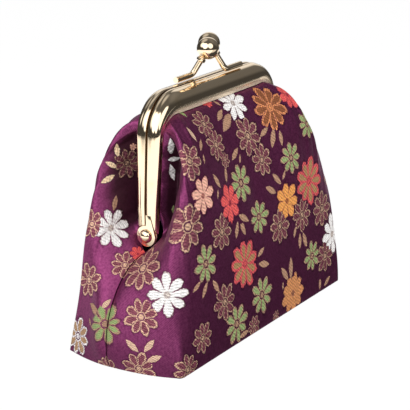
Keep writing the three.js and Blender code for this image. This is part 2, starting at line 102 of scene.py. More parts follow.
def smooth(value: Any) -> Any:
    """Eases from 0 to 1 while value goes from 0 to 1."""
    share = np.clip(value, 0.0, 1.0)
    return share * share * (3.0 - 2.0 * share)


def mix(start: Any, end: Any, share: Any) -> Any:
    """The value that lies at a share of the way from start to end."""
    return start + (end - start) * share


def bump(value: Any, centre: float, spread: float) -> Any:
    """A bell of height 1 about centre."""
    return np.exp(-(((value - centre) / spread) ** 2))


def fold(value: Any, reach: float) -> Any:
    """A fold that starts at 0, is 1 deep at reach and dies away beyond it."""
    return value / reach * np.exp(1.0 - value / reach)


def mirrored(half: np.ndarray, axis: int) -> np.ndarray:
    """Completes a half that ends at the middle with its mirror image along an axis."""
    return np.concatenate([half, np.delete(np.flip(half, axis), 0, axis)], axis)


def gaps(points: np.ndarray, axis: int) -> np.ndarray:
    """Distances between neighbouring points along one axis of a grid or line."""
    return np.linalg.norm(np.diff(points, axis=axis), axis=-1)


def summed(steps: np.ndarray) -> np.ndarray:
    """Running length at each point, from 0 at the first."""
    return np.concatenate([[0.0], np.cumsum(steps)])


def direction(azimuth: float, elevation: float) -> Vector:
    """The way to look from the purse, by the azimuth from its front and the elevation, in degrees."""
    a, e = math.radians(azimuth), math.radians(elevation)
    return Vector((math.sin(a) * math.cos(e), -math.cos(a) * math.cos(e), math.sin(e)))


def linear(colour: Colour) -> tuple[float, float, float, float]:
    """A screen colour as the linear colour that a shader takes."""
    shares = [channel / 255.0 for channel in colour]
    return (*Color(shares).from_srgb_to_scene_linear(), 1.0)


@dataclass(frozen=True)
class ArcCurve:
    """A chain of quadratic arcs that is read by its length."""

    points: np.ndarray
    along: np.ndarray

    @classmethod
    def through(cls, *arcs: tuple[Any, Any, Any], steps: int = 240) -> "ArcCurve":
        """Samples a chain of arcs.

        Args:
            arcs: Start, control and end point of each arc.
            steps: Samples taken on each arc.

        Returns:
            The curve with the length at each sample.
        """
        share = np.linspace(0.0, 1.0, steps)[:, None]
        runs = []
        for start, control, end in arcs:
            first, middle, last = np.array(start), np.array(control), np.array(end)
            runs.append(first * (1 - share) ** 2 + 2 * middle * share * (1 - share) + last * share**2)
        points = np.concatenate(runs)
        return cls(points, summed(gaps(points, 0)))

    @property
    def length(self) -> float:
        """The curve's whole length."""
        return float(self.along[-1])

    def at(self, share: np.ndarray) -> np.ndarray:
        """Points at shares of the length, one row for each share."""
        places = np.asarray(share) * self.length
        return np.stack([np.interp(places, self.along, axis) for axis in self.points.T], axis=-1)


def deselect_all() -> None:
    """Leaves nothing selected, because operators act on all that is."""
    bpy.ops.object.select_all(action="DESELECT")


def only(piece: bpy.types.Object) -> None:
    """Makes one piece the selected and active one."""
    deselect_all()
    piece.select_set(True)
    bpy.context.view_layer.objects.active = piece


def named(piece: bpy.types.Object, name: str) -> bpy.types.Object:
    """Gives a new piece and its data their name, and hands the piece back."""
    piece.name = name
    piece.data.name = name
    return piece


def read_values(items: Any, key: str, width: int = 1, kind: type = np.float64) -> np.ndarray:
    """Reads one property of all of a mesh's vertices, corners or faces.

    Args:
        items: The mesh's collection.
        key: The property's name.
        width: How many numbers each item holds.
        kind: The numbers' type.

    Returns:
        The numbers, a row for each item if it holds more than one.
    """
    values = np.zeros(len(items) * width, dtype=kind)
    items.foreach_get(key, values)
    return values.reshape(-1, width) if width > 1 else values


class Holding(Enum):
    """What an attribute holds for each point or face; the value is the key that it is written by."""

    FLOAT = "value"
    FLOAT_COLOR = "color"


def write_attribute(
    mesh: bpy.types.Mesh, name: str, domain: str, values: Any, holding: Holding = Holding.FLOAT
) -> None:
    """Adds an attribute to a mesh and fills it.

    Args:
        mesh: The mesh.
        name: The attribute's name.
        domain: What it is written for, points or faces.
        values: A number or a colour for each of them.
        holding: Which of the two it is.
    """
    layer = mesh.attributes.new(name, holding.name, domain)
    layer.data.foreach_set(holding.value, np.asarray(values, dtype=np.float32).ravel())


def move_vertices(piece: bpy.types.Object, points: Any) -> None:
    """Moves a piece's vertices to places in millimetres."""
    piece.data.vertices.foreach_set("co", (np.asarray(points) * MM).astype(np.float32).ravel())
    piece.data.update()


def apply_modifier(piece: bpy.types.Object, kind: str, **settings: Any) -> None:
    """Adds a modifier with its settings and applies it.

    Args:
        piece: The piece to finish.
        kind: The modifier's type.
        settings: The modifier's own values.
    """
    only(piece)
    modifier = piece.modifiers.new(kind.lower(), kind)
    for key, value in settings.items():
        setattr(modifier, key, value)
    bpy.ops.object.modifier_apply(modifier=modifier.name)


def smooth_shade(piece: bpy.types.Object, degrees: float = 40.0) -> None:
    """Shades a piece smooth, apart from edges sharper than the given angle."""
    only(piece)
    bpy.ops.object.shade_smooth_by_angle(angle=math.radians(degrees))


def close_shell() -> None:
    """Turns the edited piece's faces outwards and leaves edit mode."""
    bpy.ops.mesh.select_all(action="SELECT")
    bpy.ops.mesh.normals_make_consistent(inside=False)
    bpy.ops.object.mode_set(mode="OBJECT")


def formed_grid(name: str, points: np.ndarray) -> bpy.types.Object:
    """Adds a flat grid and forms it to rows of points.

    Args:
        name: The new piece's name.
        points: Rows by columns of places, in millimetres.

    Returns:
        The formed sheet.
    """
    rows, columns = points.shape[:2]
    deselect_all()
    bpy.ops.mesh.primitive_grid_add(x_subdivisions=columns - 1, y_subdivisions=rows - 1, size=1.0)
    piece = named(bpy.context.object, name)
    move_vertices(piece, points)
    return piece


def formed_ring(name: str, points: list[Any], fill: str) -> bpy.types.Object:
    """Adds a circle and forms it to a closed line of points.

    Args:
        name: The new piece's name.
        points: One place for each vertex, in millimetres.
        fill: What fills the circle.

    Returns:
        The formed ring.
    """
    deselect_all()
    bpy.ops.mesh.primitive_circle_add(vertices=len(points), radius=1.0, fill_type=fill)
    piece = named(bpy.context.object, name)
    move_vertices(piece, points)
    return piece


def spun(
    name: str, profile: list[tuple[float, float]], centre: Vector, axis: Vector, sides: int
) -> bpy.types.Object:
    """Turns a profile about an axis, as on a lathe.

    Args:
        name: The new piece's name.
        profile: Distance along the axis and radius at each point; it starts and ends on the axis.
        centre: Where the distances are counted from, in millimetres.
        axis: The axis's direction.
        sides: Sides of the turned piece.

    Returns:
        The turned piece, closed and facing outwards.
    """
    ray = axis.orthogonal().normalized()
    points = [list(centre + axis * along + ray * radius) for along, radius in profile]
    piece = formed_ring(name, points, "NOTHING")
    bpy.ops.object.mode_set(mode="EDIT")
    bpy.ops.mesh.select_all(action="DESELECT")
    shell = bmesh.from_edit_mesh(piece.data)
    ends = {0, len(profile) - 1}
    for edge in shell.edges:
        edge.select = {vertex.index for vertex in edge.verts} == ends
    bmesh.update_edit_mesh(piece.data)
    bpy.ops.mesh.delete(type="EDGE")
    bpy.ops.mesh.select_all(action="SELECT")
    bpy.ops.mesh.spin(steps=sides, angle=TAU, center=centre * MM, axis=axis)
    bpy.ops.mesh.select_all(action="SELECT")
    bpy.ops.mesh.remove_doubles(threshold=TINY)
    close_shell()
    smooth_shade(piece)
    return piece


def dress(
    piece: bpy.types.Object, finish: bpy.types.Material, body: str, node: str = ""
) -> None:
    """Finishes a rigid piece and hangs it on its CAD body.

    Args:
        piece: The piece.
        finish: Its material.
        body: The body that carries it.
        node: The CAD node that it stands for, if there is one.
    """
    piece.data.materials.append(finish)
    if node:
        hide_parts(node)
    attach(piece, body)


def math_method(operation: str, reflected: bool = False) -> Callable[..., "Value"]:
    """Makes a method of Value that adds one Math node.

    Args:
        operation: The node's operation.
        reflected: True if the value comes after the other operand.

    Returns:
        The method, which takes the operation's other operands.
    """

    def method(value: "Value", *others: Any) -> "Value":
        """Adds the node on the value and the other operands."""
        operands = (*others, value) if reflected else (value, *others)
        return value.bench.maths(operation, *operands)

    return method


class Value:
    """A shader socket that takes part in Python expressions; each one adds its Math nodes."""

    def __init__(self, bench: "NodeBench", socket: bpy.types.NodeSocket) -> None:
        """Wraps a socket of a bench's node tree."""
        self.bench = bench
        self.socket = socket

    __add__ = __radd__ = math_method("ADD")
    __mul__ = __rmul__ = math_method("MULTIPLY")
    __sub__ = math_method("SUBTRACT")
    __rsub__ = math_method("SUBTRACT", reflected=True)
    __truediv__ = math_method("DIVIDE")
    __rtruediv__ = math_method("DIVIDE", reflected=True)
    __abs__ = math_method("ABSOLUTE")
    sin = math_method("SINE")
    cos = math_method("COSINE")
    root = math_method("SQRT")
    floor = math_method("FLOOR")
    least = math_method("MINIMUM")
    most = math_method("MAXIMUM")

    def clamped(self) -> "Value":
        """The value kept between 0 and 1."""
        return self.bench.ramp(self, 0.0, 1.0, "LINEAR")

    def halved(self) -> "Value":
        """A wave from -1 to 1 brought to go from 0 to 1."""
        return self * 0.5 + 0.5


class NodeBench:
    """Builds the node tree of one material or world."""

    # Numbers of a colour mix's sockets, whose names repeat for each type of data
    MIX_SHARE, MIX_START, MIX_END, MIX_RESULT = 0, 6, 7, 2

    def __init__(self, holder: Any) -> None:
        """Empties the tree of a new material or world."""
        self.holder = holder
        holder.use_nodes = True
        self.tree = holder.node_tree
        self.tree.nodes.clear()

    @classmethod
    def material(cls, name: str) -> "NodeBench":
        """Starts a new material of that name."""
        return cls(bpy.data.materials.new(name))

    def node(
        self, kind: str, settings: Optional[dict] = None, sockets: Optional[dict] = None
    ) -> bpy.types.Node:
        """Adds a node.

        Args:
            kind: The node's type.
            settings: The node's own settings, set first.
            sockets: Values or links by socket name or number.

        Returns:
            The new node.
        """
        node = self.tree.nodes.new(kind)
        for key, value in (settings or {}).items():
            setattr(node, key, value)
        for key, value in (sockets or {}).items():
            self.feed(node.inputs[key], value)
        return node

    def feed(self, socket: bpy.types.NodeSocket, value: Any) -> None:
        """Links a value to a socket, or sets a constant on it.

        Args:
            socket: The socket.
            value: A value, another node's socket or a constant.
        """
        source = value.socket if isinstance(value, Value) else value
        if isinstance(source, bpy.types.NodeSocket):
            self.tree.links.new(source, socket)
        else:
            socket.default_value = source

    def maths(self, operation: str, *values: Any) -> Value:
        """Adds a Math node on values or numbers."""
        node = self.node("ShaderNodeMath", {"operation": operation}, dict(enumerate(values)))
        return Value(self, node.outputs[0])

    def ramp(self, value: Value, low: float, high: float, kind: str = "SMOOTHSTEP") -> Value:
        """Goes from 0 at low to 1 at high, and stays there outside them.

        Args:
            value: What is read.
            low: Where the ramp starts.
            high: Where the ramp ends.
            kind: The way that it goes between them.

        Returns:
            The share from 0 to 1.
        """
        settings = {"interpolation_type": kind, "clamp": True}
        sockets = {"Value": value, "From Min": low, "From Max": high}
        return Value(self, self.node("ShaderNodeMapRange", settings, sockets).outputs["Result"])

    def fall(self, value: Value, low: float, high: float) -> Value:
        """Goes from 1 at low to 0 at high, and stays there outside them."""
        return 1.0 - self.ramp(value, low, high)

    def blend(self, share: Any, start: Any, end: Any, way: str = "MIX") -> Value:
        """Mixes two colours.

        Args:
            share: How far the mix goes, from 0 to 1.
            start: The colour at 0.
            end: The colour at 1.
            way: How the second colour acts on the first.

        Returns:
            The mixed colour.
        """
        sockets = {self.MIX_SHARE: share, self.MIX_START: start, self.MIX_END: end}
        node = self.node("ShaderNodeMix", {"data_type": "RGBA", "blend_type": way}, sockets)
        return Value(self, node.outputs[self.MIX_RESULT])

    def parts(self, vector: bpy.types.NodeSocket) -> tuple[Value, ...]:
        """The three parts of a vector."""
        node = self.node("ShaderNodeSeparateXYZ", sockets={"Vector": vector})
        return tuple(Value(self, output) for output in node.outputs)

    def uv(self, name: str) -> tuple[Value, ...]:
        """The two coordinates of one of the piece's UV maps."""
        node = self.node("ShaderNodeUVMap", {"uv_map": name})
        return self.parts(node.outputs["UV"])[:2]

    def attribute(self, name: str, output: str = "Fac") -> Value:
        """One of the piece's own attributes."""
        node = self.node("ShaderNodeAttribute", {"attribute_name": name})
        return Value(self, node.outputs[output])

    def object_place(self, stretch: Triple = (1.0, 1.0, 1.0)) -> bpy.types.NodeSocket:
        """Object coordinates, stretched along the axes."""
        place = self.node("ShaderNodeTexCoord").outputs["Object"]
        return self.node("ShaderNodeMapping", sockets={"Vector": place, "Scale": stretch}).outputs[0]

    def noise(self, place: bpy.types.NodeSocket, scale: float, detail: float = 2.0) -> Value:
        """Soft noise from 0 to 1 about a half."""
        sockets = {"Vector": place, "Scale": scale, "Detail": detail}
        return Value(self, self.node("ShaderNodeTexNoise", sockets=sockets).outputs["Fac"])

    def bumped(self, height: Value, distance: float, strength: float) -> Value:
        """A normal bumped by a height from 0 to 1 over a distance in millimetres."""
        sockets = {"Height": height, "Distance": distance * MM, "Strength": strength}
        return Value(self, self.node("ShaderNodeBump", sockets=sockets).outputs[0])

    def surface(self, **sockets: Any) -> bpy.types.Material:
        """Ends the tree in a principled shader.

        Args:
            sockets: Values, links and constants by socket name with underscores for spaces.

        Returns:
            The finished material.
        """
        named_sockets = {key.replace("_", " "): value for key, value in sockets.items()}
        shader = self.node("ShaderNodeBsdfPrincipled", sockets=named_sockets)
        self.node("ShaderNodeOutputMaterial", sockets={"Surface": shader.outputs[0]})
        return self.holder


@dataclass(frozen=True)
class GiltFinish:
    """Polished pale gold plate with faint rubbing marks; darker along a seam, and a pale matt lower edge
    that is a painted reflection of the floor.

    The seam and the hairs' depth are in millimetres. A band is where a mask starts and where it is full.
    """

    name: str
    seam: float = 0.0
    plate: Colour = (251, 228, 195)
    worn: Colour = (242, 210, 165)
    tarnish: Colour = (84, 54, 26)
    matt: Colour = (238, 220, 194)
    roughness: float = 0.07
    rubbing: float = 0.06
    cloud_scale: float = 120.0
    cloud_detail: float = 4.0
    worn_band: Pair = (0.5, 0.8)
    worn_share: float = 0.5
    rubbed_band: Pair = (0.45, 0.75)
    hair_stretch: Triple = (900.0, 260.0, 160.0)
    hair_scale: float = 6.0
    hair_depth: float = 0.01
    hair_strength: float = 0.12
    full_tarnish: float = 0.6
    dull_roughness: float = 0.4
    matt_dullness: float = 0.8

    def material(self) -> bpy.types.Material:
        """Builds the plate's material.

        Returns:
            The finished material.
        """
        bench = NodeBench.material(self.name)
        cloud = bench.noise(bench.object_place(), self.cloud_scale, self.cloud_detail)
        hairs = bench.noise(bench.object_place(self.hair_stretch), self.hair_scale)
        worn = bench.ramp(cloud, *self.worn_band) * self.worn_share
        colour = bench.blend(worn, linear(self.plate), linear(self.worn))
        roughness = self.roughness + self.rubbing * bench.ramp(cloud, *self.rubbed_band) * hairs
        metal = 1.0
        if self.seam > 0.0:
            # The pale matt lower edge is a painted reflection of the floor.
            matt = bench.attribute("matt_edge")
            _, from_seam, _ = bench.parts(bench.object_place())
            reach = self.seam * MM
            close = bench.fall(abs(from_seam), self.full_tarnish * reach, reach)
            # Darker along the seam where the two halves meet.
            darkening = bench.attribute("seam_dirt") * close
            colour = bench.blend(matt, colour, linear(self.matt))
            colour = bench.blend(darkening, colour, linear(self.tarnish))
            roughness = roughness + self.dull_roughness * matt + self.dull_roughness * darkening
            metal = 1.0 - self.matt_dullness * matt
        normal = bench.bumped(hairs, self.hair_depth, self.hair_strength)
        return bench.surface(Base_Color=colour, Metallic=metal, Roughness=roughness, Normal=normal)


@dataclass(frozen=True)
class BrocadeFinish:
    """Plum satin ground with raised flowers and leaves woven in coloured and gold threads.

    Threads, stitches, knots and the relief are in millimetres, a motif's own sizes are shares of its half
    length, and a band is where a mask starts and where it is full.
    """

    name: str = "plum_brocade"
    ground: Colour = (158, 76, 124)
    ground_shade: Colour = (120, 49, 92)
    # Colour of the painted shade in the deep folds beside the legs
    dusk: Colour = (34, 13, 13)
    thread: float = 0.5
    twill_slant: float = 0.5
    twill_share: float = 0.4
    ground_band: Pair = (0.45, 0.95)
    stitch: float = 1.2
    stitch_slant: float = 0.6
    stitch_unevenness: float = 5.0
    knot: float = 1.25
    knot_unevenness: float = 0.5
    knot_band: Pair = (0.35, 0.6)
    slub_scale: float = 1300.0
    rim_least: float = 0.55
    gilt_openness: float = 0.55
    gilt_specks: float = 0.1
    dusk_band: Pair = (0.02, 0.55)
    dusk_depth: float = 0.9
    motif_shelter: float = 0.8
    gilt_shelter: float = 0.4
    halo_depth: float = 0.45
    thread_light: float = 0.8
    stitch_shade: float = 0.34
    knot_shade: float = 0.26
    slub_shade: float = 0.5
    satin: float = 0.9
    satin_dusk: float = 0.5
    gilt_sheen: float = 0.6
    roughness: float = 0.4
    motif_roughness: float = 0.14
    slub_roughness: float = 0.12
    specular: float = 0.3
    motif_rise: float = 0.55
    stitch_rise: float = 0.25
    slub_rise: float = 0.25
    relief: float = 0.2
    relief_strength: float = 0.7
    fraying: float = 0.7
    petal_length: float = 0.95
    petal_change: float = 0.05
    petal_turns: Pair = (2.4, 9.0)
    petal_shoulder: float = 0.64
    petal_root: float = 0.02
    core_slope: float = 5.0
    leaf_width: float = 0.36
    leaf_point: float = 0.001
    outline_band: Pair = (0.94, 1.06)
    eye_band: Pair = (0.13, 0.17)
    halo_band: Pair = (1.0, 1.45)

    def material(self) -> bpy.types.Material:
        """Builds the brocade's material from its weave and motif maps.

        Returns:
            The finished material.
        """
        bench = NodeBench.material(self.name)
        across, along = bench.uv("weave")
        slub = bench.noise(bench.object_place(), self.slub_scale)
        twill = ((across + along * self.twill_slant) * (TAU / self.thread)).sin().halved()
        knots = ((across * (TAU / self.knot)).sin() * (along * (TAU / self.stitch)).sin()).halved()
        slanted = (along + across * self.stitch_slant) * (TAU / self.stitch)
        stitch = (slanted + slub * self.stitch_unevenness).sin().halved()
        dots = bench.ramp(knots + (slub - 0.5) * self.knot_unevenness, *self.knot_band)
        rim, inside, halo_shade = self.motif_masks(bench, slub)
        rim = rim * (self.rim_least + (1.0 - self.rim_least) * dots)
        motif = (rim + inside).clamped()
        gilt = bench.attribute("motif_gilt")
        solid = inside * (1.0 - self.gilt_openness * gilt)
        gold = (rim + inside * gilt * dots * self.gilt_specks).clamped()
        # Painted shade: the folds beside the legs are darkened towards a dark brown, less on the motifs and
        # gold threads, and the satin is less metallic there.
        dusk = bench.ramp(bench.attribute("fold_dusk"), *self.dusk_band)
        dusk = dusk * (1.0 - motif * (self.motif_shelter - self.gilt_shelter * gilt))
        light = bench.ramp(slub + twill * self.twill_share, *self.ground_band)
        colour = bench.blend(light, linear(self.ground_shade), linear(self.ground))
        colour = bench.blend(solid, colour, bench.attribute("motif_fill", "Color"))
        colour = bench.blend(gold, colour, bench.attribute("motif_rim", "Color"))
        colour = bench.blend(dusk * self.dusk_depth, colour, linear(self.dusk))
        shade = self.stitch_shade * (self.thread_light - stitch)
        shade = shade + self.knot_shade * (self.thread_light - dots) + self.slub_shade * (0.5 - slub)
        # The ring round each motif takes a painted shade.
        level = (1.0 - self.halo_depth * halo_shade) * (1.0 - motif * shade)
        metal = (1.0 - (rim + solid).clamped()) * self.satin * (1.0 - self.satin_dusk * dusk)
        height = motif * (self.motif_rise + self.stitch_rise * stitch) + self.slub_rise * slub
        return bench.surface(
            Base_Color=bench.blend(1.0, colour, level, "MULTIPLY"),
            Metallic=metal + gilt * self.gilt_sheen * rim,
            Roughness=self.roughness + self.motif_roughness * motif + self.slub_roughness * slub,
            Normal=bench.bumped(height, self.relief, self.relief_strength),
            Specular_IOR_Level=self.specular,
        )

    def motif_masks(self, bench: NodeBench, slub: Value) -> tuple[Value, Value, Value]:
        """Draws flowers and leaves in the motif map.

        Args:
            bench: The material being built.
            slub: The threads' unevenness, which frays the outlines.

        Returns:
            Masks of the rims with the flowers' middles, of what they hold and of the ground close by, which
            gets a painted shade.
        """
        x, y = bench.uv("motif")
        words = ("petals", "leaf", "seed", "wedge", "core", "rim_width")
        petals, leaf, seed, wedge, core, rim_width = (bench.attribute(f"motif_{word}") for word in words)
        radius = (x * x + y * y).root()
        turn = bench.maths("ARCTAN2", y, x) * petals / TAU
        petal = (turn + 0.5).floor()
        angle = (turn - petal) * TAU / petals
        out = radius * angle.cos()
        aside = radius * angle.sin()
        by_petal, by_seed = self.petal_turns
        tip = self.petal_length + self.petal_change * (petal * by_petal + seed * by_seed).sin()
        bend = tip * self.petal_shoulder
        past = ((out - bend) / (tip - bend)).most(0.0)
        wide = aside / (wedge * out.least(bend) + self.petal_root)
        bloom = (past * past + wide * wide).root().most(1.0 + (core - out) * self.core_slope)
        blade = abs(y) / (self.leaf_width * (1.0 - x * x)).most(self.leaf_point)
        shape = bloom + (blade - bloom) * leaf + (slub - 0.5) * self.fraying
        whole = bench.fall(shape, *self.outline_band)
        inner = bench.fall(shape + rim_width, *self.outline_band)
        eye = bench.fall(radius, *self.eye_band) * (1.0 - leaf)
        # Painted shade on the ground in a ring round each raised motif
        halo_shade = bench.fall(shape, *self.halo_band) * (1.0 - whole)
        return (whole - inner).most(eye), inner * (1.0 - eye), halo_shade


@dataclass(frozen=True)
class PlainClothFinish:
    """Plain woven cloth or paper in two close shades; the relief is in millimetres."""

    name: str
    light: Colour
    dark: Colour
    threads_per_metre: float
    roughness: float
    grain: Triple = (1.0, 1.0, 3.0)
    detail: float = 3.0
    shade_band: Pair = (0.35, 0.65)
    unevenness: float = 0.1
    relief: float = 0.1
    relief_strength: float = 0.5

    def material(self) -> bpy.types.Material:
        """Builds the weave's material on object coordinates.

        Returns:
            The finished material.
        """
        bench = NodeBench.material(self.name)
        fine = bench.noise(bench.object_place(self.grain), self.threads_per_metre, self.detail)
        colour = bench.blend(bench.ramp(fine, *self.shade_band), linear(self.dark), linear(self.light))
        roughness = self.roughness + self.unevenness * fine
        normal = bench.bumped(fine, self.relief, self.relief_strength)
        return bench.surface(Base_Color=colour, Roughness=roughness, Normal=normal)


LINING = PlainClothFinish(
    "plum_lining", light=(92, 40, 78), dark=(66, 26, 56), threads_per_metre=2600.0, roughness=0.7
)
PACKING_PAPER = PlainClothFinish(
    "twisted_paper", light=(222, 205, 168), dark=(190, 170, 128), threads_per_metre=1500.0, roughness=0.85
)


@dataclass(frozen=True)
class Rail:
    """Places and section sizes along one half of the frame's outline, in millimetres."""

    x: np.ndarray
    z: np.ndarray
    in_x: np.ndarray
    in_z: np.ndarray
    depth: np.ndarray
    thickness: np.ndarray
    shoulder: np.ndarray
    lip: np.ndarray
    lip_height: np.ndarray


@dataclass(frozen=True)
class FrameSizes:
    """Sizes of the gilt frame in millimetres; the first three come from the CAD frame."""

    half_width: float
    top: float
    pivot: float
    corner_radius: float = 14.5
    leg_splay: float = 2.5
    sheet_metal: float = 0.5
    half_gap: float = 0.06
    seam_edge: float = 0.4
    leg_depth: float = 3.0
    corner_depth: float = 3.4
    bar_depth: float = 8.0
    leg_thickness: float = 4.2
    corner_thickness: float = 5.2
    bar_thickness: float = 6.2
    leg_shoulder: float = 2.1
    bar_shoulder: float = 4.2
    leg_lip_height: float = 0.8
    bar_lip_height: float = 3.0
    leg_lip: float = 0.2
    bar_lip: float = 0.9
    ear_radius: float = 4.0
    ear_plate: float = 0.8
    ear_neck: float = 4.0
    ear_sweep: float = 0.3
    crown: float = 0.24
    hinge_clearance: float = 0.25
    dirt_depth: float = 0.9

    @classmethod
    def from_cad(cls) -> "FrameSizes":
        """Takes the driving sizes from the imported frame.

        Returns:
            The sizes of this frame.
        """
        _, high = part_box("front_frame")
        pivot = frame["joints"][0]["pos_m"][2]
        return cls(half_width=high[0] / MM - cls.leg_splay, top=high[2] / MM, pivot=pivot / MM)

    @property
    def hinge_x(self) -> float:
        """Half the width over the ears, where the legs splay out."""
        return self.half_width + self.leg_splay

    @property
    def neck_length(self) -> float:
        """Height of the ears' necks above the pivot."""
        return self.ear_radius + self.ear_neck

    @property
    def corner_z(self) -> float:
        """Height where the legs end and the corners start."""
        return self.top - self.corner_radius

    @property
    def leg_length(self) -> float:
        """Length of a leg above its pivot."""
        return self.corner_z - self.pivot

    @property
    def corner_length(self) -> float:
        """Length round a corner's outer edge."""
        return self.corner_radius * QUARTER_TURN

    @property
    def bar_length(self) -> float:
        """Half the length of the straight bar."""
        return self.half_width - self.corner_radius

    @property
    def rail_length(self) -> float:
        """Length from a pivot to the middle of the bar."""
        return self.leg_length + self.corner_length + self.bar_length

    def rail(self, length: np.ndarray) -> Rail:
        """Reads the outline at lengths counted from the pivot.

        Args:
            length: Lengths along the outline.

        Returns:
            The outline's places, inward directions and section sizes.
        """
        leg = np.clip(length / self.leg_length, 0.0, 1.0)
        turn = np.clip((length - self.leg_length) / self.corner_length, 0.0, 1.0)
        along = np.maximum(0.0, length - self.leg_length - self.corner_length)
        angle = turn * QUARTER_TURN
        grow = smooth(turn)
        run = self.leg_length + 0.5 * self.corner_length - self.neck_length
        splay = 1.0 - np.clip((length - self.neck_length) / run, 0.0, 1.0)
        outside = self.half_width + self.leg_splay * splay
        return Rail(
            x=outside - self.corner_radius * (1.0 - np.cos(angle)) - along,
            z=self.pivot + self.leg_length * leg + self.corner_radius * np.sin(angle),
            in_x=-np.cos(angle),
            in_z=-np.sin(angle),
            depth=mix(mix(self.leg_depth, self.corner_depth, leg), self.bar_depth, grow),
            thickness=mix(mix(self.leg_thickness, self.corner_thickness, leg), self.bar_thickness, grow),
            shoulder=mix(self.leg_shoulder, self.bar_shoulder, grow),
            lip=mix(self.leg_lip, self.bar_lip, grow),
            lip_height=mix(self.leg_lip_height, self.bar_lip_height, grow),
        )


